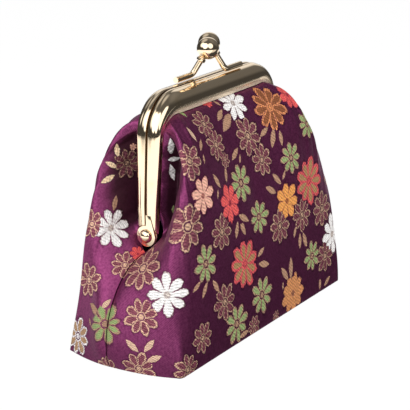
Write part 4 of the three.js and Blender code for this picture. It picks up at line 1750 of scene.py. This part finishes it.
class Bloom(Enum):
    """The kinds of flower and leaf in the brocade."""

    GOLD_LINE = Weave(GOLD_THREAD, (128, 56, 44), 0.28, fullness=0.82, gilt=1.0)
    WHITE = Weave((236, 226, 214), WHITE_THREAD, 0.1, fullness=0.78, core=0.12)
    WHITE_LINE = Weave(WHITE_THREAD, (176, 140, 106), 0.3)
    ORANGE_LINE = Weave((236, 154, 92), (142, 84, 52), 0.34, fullness=0.86, core=0.12, petals=9)
    RED_LINE = Weave(RED_THREAD, (170, 130, 88), 0.42, fullness=0.94, core=0.12, petals=9)
    RED = Weave((186, 58, 64), RED_THREAD, 0.14, fullness=0.88, core=0.1, petals=7)
    ORANGE = Weave((206, 128, 60), (236, 160, 84), 0.12, fullness=0.88, core=0.1, petals=7)
    PALE_ORANGE = Weave((190, 128, 82), (210, 142, 90), 0.12, fullness=1.02, core=0.08, petals=9)
    SALMON = Weave((200, 130, 110), (236, 178, 156), 0.12, core=0.1, petals=7)
    GREEN = Weave((184, 150, 116), GREEN_THREAD, 0.3, fullness=0.76)
    GOLD_LEAF = Weave(TAN_THREAD, (192, 152, 118), 0.2, leaf=True, gilt=0.2)
    PALE_LEAF = Weave(GOLD_THREAD, (230, 194, 164), 0.2, leaf=True, gilt=0.2)
    CREAM_LEAF = Weave((255, 234, 200), (255, 224, 182), 0.2, leaf=True)
    GREEN_LEAF = Weave((178, 146, 112), GREEN_THREAD, 0.2, leaf=True)
    WHITE_PETAL = Weave((204, 186, 168), WHITE_THREAD, 0.1, leaf=True)
    RED_PETAL = Weave((186, 58, 64), RED_THREAD, 0.1, leaf=True)


@dataclass(frozen=True)
class Spot:
    """Where the photograph shows a motif: its middle and half length in pixels, and a leaf's slant."""

    px: float
    py: float
    half_px: float
    slant: float = 90.0


SEEN_MOTIFS: dict[Bloom, tuple[Spot, ...]] = {
    Bloom.WHITE: (Spot(233, 103, 15), Spot(332, 234, 22), Spot(111, 228, 21), Spot(167, 295, 24)),
    Bloom.ORANGE_LINE: (Spot(270, 107, 22),),
    Bloom.RED_LINE: (Spot(309, 181, 25), Spot(245, 264, 26)),
    Bloom.RED: (Spot(230, 203, 21), Spot(206, 101, 9), Spot(287, 95, 10), Spot(138, 254, 9)),
    Bloom.ORANGE: (Spot(287, 201, 20),),
    Bloom.PALE_ORANGE: (Spot(293, 293, 21),),
    Bloom.SALMON: (Spot(203, 196, 21), Spot(133, 147, 4)),
    Bloom.WHITE_LINE: (Spot(78, 336, 20),),
    Bloom.GREEN: (
        Spot(307, 124, 14), Spot(291, 158, 17), Spot(241, 183, 20), Spot(259, 217, 18), Spot(312, 256, 16),
        Spot(206, 264, 21), Spot(262, 295, 20), Spot(237, 324, 21), Spot(105, 324, 22),
    ),
    Bloom.GOLD_LINE: (
        Spot(204, 124, 12), Spot(216, 145, 16), Spot(225, 160, 9), Spot(248, 136, 20), Spot(262, 160, 17),
        Spot(190, 161, 19), Spot(188, 227, 26), Spot(222, 232, 20), Spot(280, 226, 19), Spot(302, 215, 18),
        Spot(322, 209, 19), Spot(325, 256, 17), Spot(225, 302, 20), Spot(203, 338, 17), Spot(188, 370, 17),
        Spot(254, 326, 11), Spot(276, 316, 6), Spot(127, 163, 16), Spot(92, 224, 15), Spot(125, 265, 15),
        Spot(143, 268, 20), Spot(89, 280, 18), Spot(141, 317, 20), Spot(139, 369, 16),
    ),
    Bloom.GREEN_LEAF: (Spot(181, 113, 7, -20), Spot(173, 209, 4, 80)),
    Bloom.WHITE_PETAL: (Spot(171, 147, 6, 85), Spot(174, 159, 6, 10), Spot(172, 172, 6, 95)),
    Bloom.RED_PETAL: (Spot(163, 229, 5, 70),),
    Bloom.CREAM_LEAF: (Spot(117, 150, 8, 100), Spot(112, 165, 7, -25), Spot(108, 179, 8, 30)),
    Bloom.PALE_LEAF: (
        Spot(192, 134, 9, -55), Spot(106, 304, 7, 45), Spot(132, 346, 9, -45), Spot(149, 346, 8, 50),
        Spot(154, 359, 8, 20),
    ),
    Bloom.GOLD_LEAF: (
        Spot(217, 103, 5, -30), Spot(220, 115, 6, 70), Spot(227, 122, 10, 70), Spot(264, 132, 6, 50),
        Spot(273, 138, 10, 85), Spot(281, 138, 8, 100), Spot(235, 154, 7, 65), Spot(240, 159, 5, 90),
        Spot(226, 175, 8, 95), Spot(217, 181, 8, 120), Spot(204, 159, 5, 100), Spot(201, 145, 6, 90),
        Spot(218, 194, 5, 90), Spot(277, 179, 7, -50), Spot(284, 175, 5, 75), Spot(271, 190, 6, -30),
        Spot(295, 232, 6, 80), Spot(300, 241, 8, 90), Spot(305, 240, 8, 105), Spot(244, 218, 6, -30),
        Spot(237, 230, 9, 85), Spot(243, 228, 8, 110), Spot(261, 252, 6, 55), Spot(264, 264, 6, 0),
        Spot(291, 268, 11, 90), Spot(285, 274, 7, 120), Spot(283, 286, 4, 90), Spot(320, 284, 6, 90),
        Spot(327, 281, 6, 60), Spot(197, 287, 7, 55), Spot(205, 290, 9, 75), Spot(216, 286, 7, 120),
        Spot(115, 203, 8, 80), Spot(94, 309, 7, 120), Spot(90, 322, 4, 100), Spot(244, 334, 6, 40),
    ),
}


@dataclass
class PlacedMotif:
    """A motif on the cloth: its middle, its facing, its own right and up, and its size, in metres."""

    bloom: Bloom
    centre: Vector
    normal: Vector
    right: Vector
    up: Vector
    size: float
    seed: float


@dataclass
class BrocadePattern:
    """Places the woven motifs on the two brocade sheets and writes their maps; sizes in millimetres."""

    camera: PhotoCamera
    sheets: list[bpy.types.Object]
    gap: float = 0.6
    longest_stretch: float = 1.7
    least_steepness: float = 0.2
    turn_step: float = 2.399
    map_reach: float = 1.12
    map_facing: float = -0.1
    off_map: float = 9.0
    filler_seed: int = 11
    filler_tries: int = 900
    filler_flower: float = 5.0
    filler_leaf: float = 2.6
    underside: float = -0.9

    def __post_init__(self) -> None:
        """Prepares the ray tests."""
        self.placed: list[PlacedMotif] = []
        self.trees = []
        for sheet in self.sheets:
            vertices = [vertex.co for vertex in sheet.data.vertices]
            polygons = [tuple(polygon.vertices) for polygon in sheet.data.polygons]
            self.trees.append(BVHTree.FromPolygons(vertices, polygons))

    def add(
        self, bloom: Bloom, centre: Vector, normal: Vector, size: float, tip: Optional[Vector] = None
    ) -> None:
        """Lays one motif on the cloth.

        Args:
            bloom: The kind of motif.
            centre: Its middle.
            normal: The cloth's facing there.
            size: Its half length, in metres.
            tip: The direction that it points in; without one the motif is turned by its number.
        """
        spin = len(self.placed) * self.turn_step
        if tip is None:
            across = normal.orthogonal().normalized()
            tip = across * math.cos(spin) + normal.cross(across) * math.sin(spin)
        right = (tip - normal * tip.dot(normal)).normalized()
        up = normal.cross(right)
        self.placed.append(PlacedMotif(bloom, centre, normal, right, up, size, spin % 1.0))

    def nearest_hit(self, px: float, py: float) -> Optional[tuple[Vector, Vector]]:
        """Finds the cloth behind a pixel.

        Args:
            px: The pixel's column.
            py: The pixel's row.

        Returns:
            The first cloth point and its facing, or None.
        """
        start, direction = self.camera.ray(px, py)
        hits = [tree.ray_cast(start, direction) for tree in self.trees]
        hits = [hit for hit in hits if hit[0] is not None]
        if not hits:
            return None
        place, normal, _, _ = min(hits, key=lambda hit: hit[3])
        return place, normal

    def reach(self, spot: Spot, centre: Vector, normal: Vector) -> Vector:
        """Lays the half length that the photograph shows flat on the cloth.

        Args:
            spot: Where the photograph shows the motif.
            centre: The motif's middle on the cloth.
            normal: The cloth's facing there.

        Returns:
            The way from the middle to the motif's end.
        """
        slant = math.radians(spot.slant)
        tip_px = spot.px + spot.half_px * math.cos(slant)
        tip_py = spot.py - spot.half_px * math.sin(slant)
        start, direction = self.camera.ray(tip_px, tip_py)
        steep = direction.dot(normal)
        distance = (centre - start).length
        plain = spot.half_px * distance / self.camera.focal_px
        if abs(steep) > self.least_steepness:
            distance = (centre - start).dot(normal) / steep
        tip = start + direction * distance - centre
        return tip.normalized() * min(max(tip.length, plain), self.longest_stretch * plain)

    def place_seen(self) -> None:
        """Places the motifs that the photograph shows."""
        for bloom, spots in SEEN_MOTIFS.items():
            for spot in spots:
                hit = self.nearest_hit(spot.px, spot.py)
                if hit is None:
                    LOG.info("no cloth behind pixel %s, %s", spot.px, spot.py)
                    continue
                tip = self.reach(spot, *hit)
                self.add(bloom, *hit, tip.length, tip if bloom.value.leaf else None)

    def is_free(self, centre: Vector, size: float, others: list[PlacedMotif]) -> bool:
        """True if a motif of that size would lie clear of some others."""
        room = self.gap * MM
        return all((m.centre - centre).length > m.size + size + room for m in others)

    def faces_photo(self, centre: Vector, normal: Vector) -> bool:
        """True if the cloth at a place faces the photograph's camera."""
        return normal.dot(Vector(self.camera.place) * MM - centre) > 0.0

    def on_cloth(self, place: Vector) -> tuple[Vector, Vector]:
        """The nearest point of either sheet and its facing."""
        found = [tree.find_nearest(place) for tree in self.trees]
        return min(found, key=lambda item: item[3])[:2]

    def place_hidden(self) -> None:
        """Repeats the pattern, half a turn round, on the sides that the photograph hides."""
        half_turn = Matrix.Rotation(math.pi, 3, "Z")
        shown = list(self.placed)
        for motif in shown:
            centre, normal = self.on_cloth(half_turn @ motif.centre)
            if self.is_free(centre, motif.size, shown) and not self.faces_photo(centre, normal):
                self.add(motif.bloom, centre, normal, motif.size, half_turn @ motif.right)

    def place_fillers(self) -> None:
        """Fills what is still bare away from the photograph's view with small flowers and leaves."""
        chance = np.random.default_rng(self.filler_seed)
        choices = [Bloom.GOLD_LINE, Bloom.GREEN, Bloom.GOLD_LEAF, Bloom.GOLD_LINE, Bloom.GOLD_LEAF]
        faces = [polygon for sheet in self.sheets for polygon in sheet.data.polygons]
        for pick, index in enumerate(chance.integers(0, len(faces), self.filler_tries)):
            centre, normal = faces[index].center.copy(), faces[index].normal.copy()
            middle = Vector((0.0, 0.0, centre.z))
            outer = normal.dot(centre - middle) > 0.0 or normal.z < self.underside
            bloom = choices[pick % len(choices)]
            size = (self.filler_leaf if bloom.value.leaf else self.filler_flower) * MM
            hidden = outer and not self.faces_photo(centre, normal)
            if hidden and self.is_free(centre, size, self.placed):
                self.add(bloom, centre, normal, size)

    def write(self, sheet: bpy.types.Object) -> None:
        """Writes, for each face of a sheet, the map and threads of the motif that it lies in.

        Args:
            sheet: The sheet, with its thickness.
        """
        mesh = sheet.data
        centres = read_values(mesh.polygons, "center", 3)
        normals = read_values(mesh.polygons, "normal", 3)
        best = np.full(len(centres), self.map_reach)
        chosen = np.full(len(centres), -1)
        for index, motif in enumerate(self.placed):
            near = np.linalg.norm(centres - np.array(motif.centre), axis=1) / motif.size
            better = (near < best) & (normals @ np.array(motif.normal) > self.map_facing)
            best[better] = near[better]
            chosen[better] = index
        self.write_map(mesh, chosen)
        self.write_threads(mesh, chosen)

    def write_map(self, mesh: bpy.types.Mesh, chosen: np.ndarray) -> None:
        """Writes each motif's own coordinates, 1 at its tip, to the motif UV map.

        Args:
            mesh: The sheet's mesh.
            chosen: The number of each face's motif, -1 for none.
        """
        corners = read_values(mesh.loops, "vertex_index", kind=np.int32)
        places = read_values(mesh.vertices, "co", 3)[corners]
        totals = read_values(mesh.polygons, "loop_total", kind=np.int32)
        motif_of = np.repeat(chosen, totals)
        words = ("centre", "right", "up")
        centre, right, up = (np.array([getattr(m, word) for m in self.placed])[motif_of] for word in words)
        size = np.array([m.size for m in self.placed])[motif_of][:, None]
        offset = (places - centre) / size
        local = np.stack([(offset * right).sum(axis=1), (offset * up).sum(axis=1)], axis=-1)
        flat = np.maximum(np.linalg.norm(local, axis=1, keepdims=True), TINY)
        local = local / flat * np.linalg.norm(offset, axis=1, keepdims=True)
        local[motif_of < 0] = self.off_map
        layer = mesh.uv_layers.new(name="motif")
        layer.data.foreach_set("uv", local.astype(np.float32).ravel())

    def write_threads(self, mesh: bpy.types.Mesh, chosen: np.ndarray) -> None:
        """Writes the threads of each face's motif as face attributes.

        Args:
            mesh: The sheet's mesh.
            chosen: The number of each face's motif, -1 for none.
        """
        weaves = [m.bloom.value for m in self.placed]
        numbers = {"seed": [m.seed for m in self.placed]}
        for word in ("petals", "rim_width", "leaf", "gilt", "wedge", "core"):
            numbers[word] = [getattr(weave, word) for weave in weaves]
        for word, values in numbers.items():
            write_attribute(mesh, f"motif_{word}", "FACE", np.array(values)[chosen])
        for word in ("rim", "fill"):
            colours = np.array([linear(getattr(weave, word)) for weave in weaves])
            write_attribute(mesh, f"motif_{word}", "FACE", colours[chosen], Holding.FLOAT_COLOR)

    def weave(self) -> None:
        """Lays out the whole pattern and writes it to both sheets."""
        self.place_seen()
        self.place_hidden()
        self.place_fillers()
        for sheet in self.sheets:
            self.write(sheet)
        LOG.info("brocade: %d motifs", len(self.placed))


@dataclass(frozen=True)
class SoftLight:
    """A soft square lamp; sizes in metres."""

    name: str
    place: Triple
    size: float
    power: float
    target: Triple = (0.0, 0.0, 0.05)

    def build(self) -> None:
        """Adds the lamp and turns it to its target."""
        bpy.ops.object.light_add(type="AREA", location=self.place)
        lamp = named(bpy.context.object, self.name)
        lamp.data.size = self.size
        lamp.data.energy = self.power
        lamp.visible_glossy = False
        aim = Vector(self.target) - Vector(self.place)
        lamp.rotation_euler = aim.to_track_quat("-Z", "Y").to_euler()


@dataclass(frozen=True)
class Glow:
    """A soft round bright place in the surroundings, seen only in reflections; angles in degrees."""

    azimuth: float
    elevation: float
    inner: float
    outer: float
    strength: float

    def level(self, bench: NodeBench, way: bpy.types.NodeSocket) -> Value:
        """Draws the glow in the world.

        Args:
            bench: The world being built.
            way: The direction that is looked in.

        Returns:
            The glow's strength in that direction.
        """
        axis = direction(self.azimuth, self.elevation)
        node = bench.node("ShaderNodeVectorMath", {"operation": "DOT_PRODUCT"}, {0: way, 1: axis})
        edges = (math.cos(math.radians(self.outer)), math.cos(math.radians(self.inner)))
        return bench.ramp(Value(bench, node.outputs["Value"]), *edges) * self.strength


@dataclass
class Studio:
    """The pale floor, the lamps and the surroundings that the metal mirrors.

    The floor is white to the camera. In reflections it is a dim room with a bright sweep on some sides of
    the purse, so that the frame shows light and dark bands. Places and bands are in metres.
    """

    floor_half: float = 3.0
    floor_parts: int = 4
    floor_colour: float = 0.86
    floor_white: float = 1.03
    floor_glow: float = 0.93
    ambient: float = 0.42
    room: float = 0.055
    sweep_centre: Pair = (-0.12, -0.12)
    sweep_band: Pair = (0.5, 0.62)
    sweep_glow: float = 1.45
    left_band: Pair = (0.045, 0.08)
    rear_band: Pair = (-0.03, -0.016)
    front_band: Pair = (0.03, 0.06)
    front_far_band: Pair = (0.24, 0.3)
    front_far_slope: float = 1.51
    front_far_share: float = 0.55
    right_far_bands: tuple[Pair, Pair] = ((0.16, 0.24), (-0.15, -0.08))
    right_far_share: float = 0.6
    foot_band: Pair = (0.08, 0.2)
    foot_share: float = 0.32
    glows: tuple[Glow, ...] = (
        Glow(-132.5, 34.0, 14.0, 25.0, 1.35),
        Glow(169.0, 57.0, 8.0, 28.0, 0.5),
        Glow(123.0, 17.0, 8.0, 30.0, 0.85),
        Glow(69.0, 40.0, 18.0, 45.0, 0.08),
        Glow(0.0, 90.0, 25.0, 60.0, 0.06),
        Glow(-90.0, 33.0, 25.0, 30.0, 1.8),
        Glow(-26.0, 33.0, 23.0, 28.0, 1.5),
    )
    lamps: tuple[SoftLight, ...] = (
        SoftLight("key", place=(-0.95, -0.6, 0.75), size=0.8, power=11.0),
        SoftLight("back_left", place=(-0.7, 0.75, 0.7), size=0.6, power=4.0),
        SoftLight("front_right", place=(0.5, -0.9, 0.5), size=0.6, power=3.6),
    )

    def sweep(self, bench: NodeBench) -> Value:
        """Draws the floor that reflections show.

        Args:
            bench: The floor's material.

        Returns:
            The floor's brightness in reflections.
        """
        x, y, _ = bench.parts(bench.object_place())
        from_x, from_y = x - self.sweep_centre[0], y - self.sweep_centre[1]
        near = bench.fall((from_x * from_x + from_y * from_y).root(), *self.sweep_band)
        left = bench.ramp(0.0 - x, *self.left_band)
        rear = bench.ramp(y, *self.rear_band)
        front = bench.ramp(0.0 - y, *self.front_band)
        ahead = 0.0 - x - self.front_far_slope * y
        front_far = bench.ramp(ahead, *self.front_far_band) * self.front_far_share
        band_x, band_y = self.right_far_bands
        right_far = bench.ramp(x, *band_x) * bench.ramp(y, *band_y) * self.right_far_share
        lit = left.most(rear).most(front_far * front).most(right_far)
        # Painted shadow: the floor that reflections show is darker close to the purse.
        away = bench.ramp((x * x + y * y).root(), *self.foot_band)
        foot = away * (1.0 - self.foot_share) + self.foot_share
        return (near * lit * foot * self.sweep_glow).most(self.room)

    def build_floor(self) -> None:
        """Lays the pale floor, with the purse's shadow on it."""
        deselect_all()
        parts, width = self.floor_parts, 2.0 * self.floor_half
        bpy.ops.mesh.primitive_grid_add(x_subdivisions=parts, y_subdivisions=parts, size=width)
        floor = named(bpy.context.object, "pale_floor")
        bench = NodeBench.material("pale_floor")
        path = bench.node("ShaderNodeLightPath").outputs
        glossy = Value(bench, path["Is Glossy Ray"]) + path["Is Transmission Ray"]
        shown = Value(bench, path["Is Camera Ray"]) * self.floor_glow + glossy
        strength = self.floor_white + glossy * (self.sweep(bench) - self.floor_white)
        diffuse = bench.node("ShaderNodeBsdfDiffuse", sockets={"Color": (self.floor_colour,) * 3 + (1.0,)})
        glow = bench.node("ShaderNodeEmission", sockets={"Strength": strength})
        ways = {0: shown, 1: diffuse.outputs[0], 2: glow.outputs[0]}
        blend = bench.node("ShaderNodeMixShader", sockets=ways)
        bench.node("ShaderNodeOutputMaterial", sockets={"Surface": blend.outputs[0]})
        floor.data.materials.append(bench.holder)

    def build_world(self) -> None:
        """Sets the surroundings: white to the camera, soft for cloth, dim with glows in reflections."""
        world = bpy.data.worlds.new("studio")
        bpy.context.scene.world = world
        bench = NodeBench(world)
        path = bench.node("ShaderNodeLightPath").outputs
        way = bench.node("ShaderNodeTexCoord").outputs["Generated"]
        mirrored_room = sum((glow.level(bench, way) for glow in self.glows), self.room)
        lit = []
        for strength in (self.ambient, mirrored_room, 1.0):
            sockets = {"Color": (1.0, 1.0, 1.0, 1.0), "Strength": strength}
            lit.append(bench.node("ShaderNodeBackground", sockets=sockets).outputs[0])
        soft, room, white = lit
        unseen = bench.node("ShaderNodeMixShader", sockets={0: path["Is Glossy Ray"], 1: soft, 2: room})
        seen = {0: path["Is Camera Ray"], 1: unseen.outputs[0], 2: white}
        whole = bench.node("ShaderNodeMixShader", sockets=seen)
        bench.node("ShaderNodeOutputWorld", sockets={"Surface": whole.outputs[0]})

    def build(self) -> None:
        """Sets up the whole studio."""
        self.build_floor()
        self.build_world()
        for lamp in self.lamps:
            lamp.build()
        bpy.context.scene.view_settings.view_transform = "Standard"


def main() -> None:
    """Builds the purse's pieces in order, then its pattern, camera and studio."""
    logging.basicConfig(level=logging.INFO, format="%(message)s")
    plate = GiltFinish("gilt_plate").material()
    seamed = GiltFinish("gilt_channel", seam=0.66).material()
    brocade = BrocadeFinish().material()
    lining = LINING.material()
    paper = PACKING_PAPER.material()
    sizes = FrameSizes.from_cad()
    shape = BagShape(sizes)
    pieces = []
    sheets = []
    for side in Side:
        pieces += FrameHalf(side, sizes, seamed, plate).build()
        pieces += ClaspHalf(side, sizes, plate).build()
        sheets.append(ClothPanel(side, shape, brocade).build_brocade())
        pieces.append(ClothPanel(side, shape, lining).build_lining())
        cord = frame["nodes"][f"{side.word}_packing_cord"]
        cord.data.materials.clear()
        cord.data.materials.append(paper)
    pieces += [HingeRivet(hand, sizes, plate).build() for hand in Hand]
    camera = PhotoCamera()
    camera.build()
    BrocadePattern(camera, sheets).weave()
    Studio().build()
    for piece in pieces + sheets:
        LOG.info("%s: %d faces", piece.name, len(piece.data.polygons))


if __name__ == "__main__":
    main()
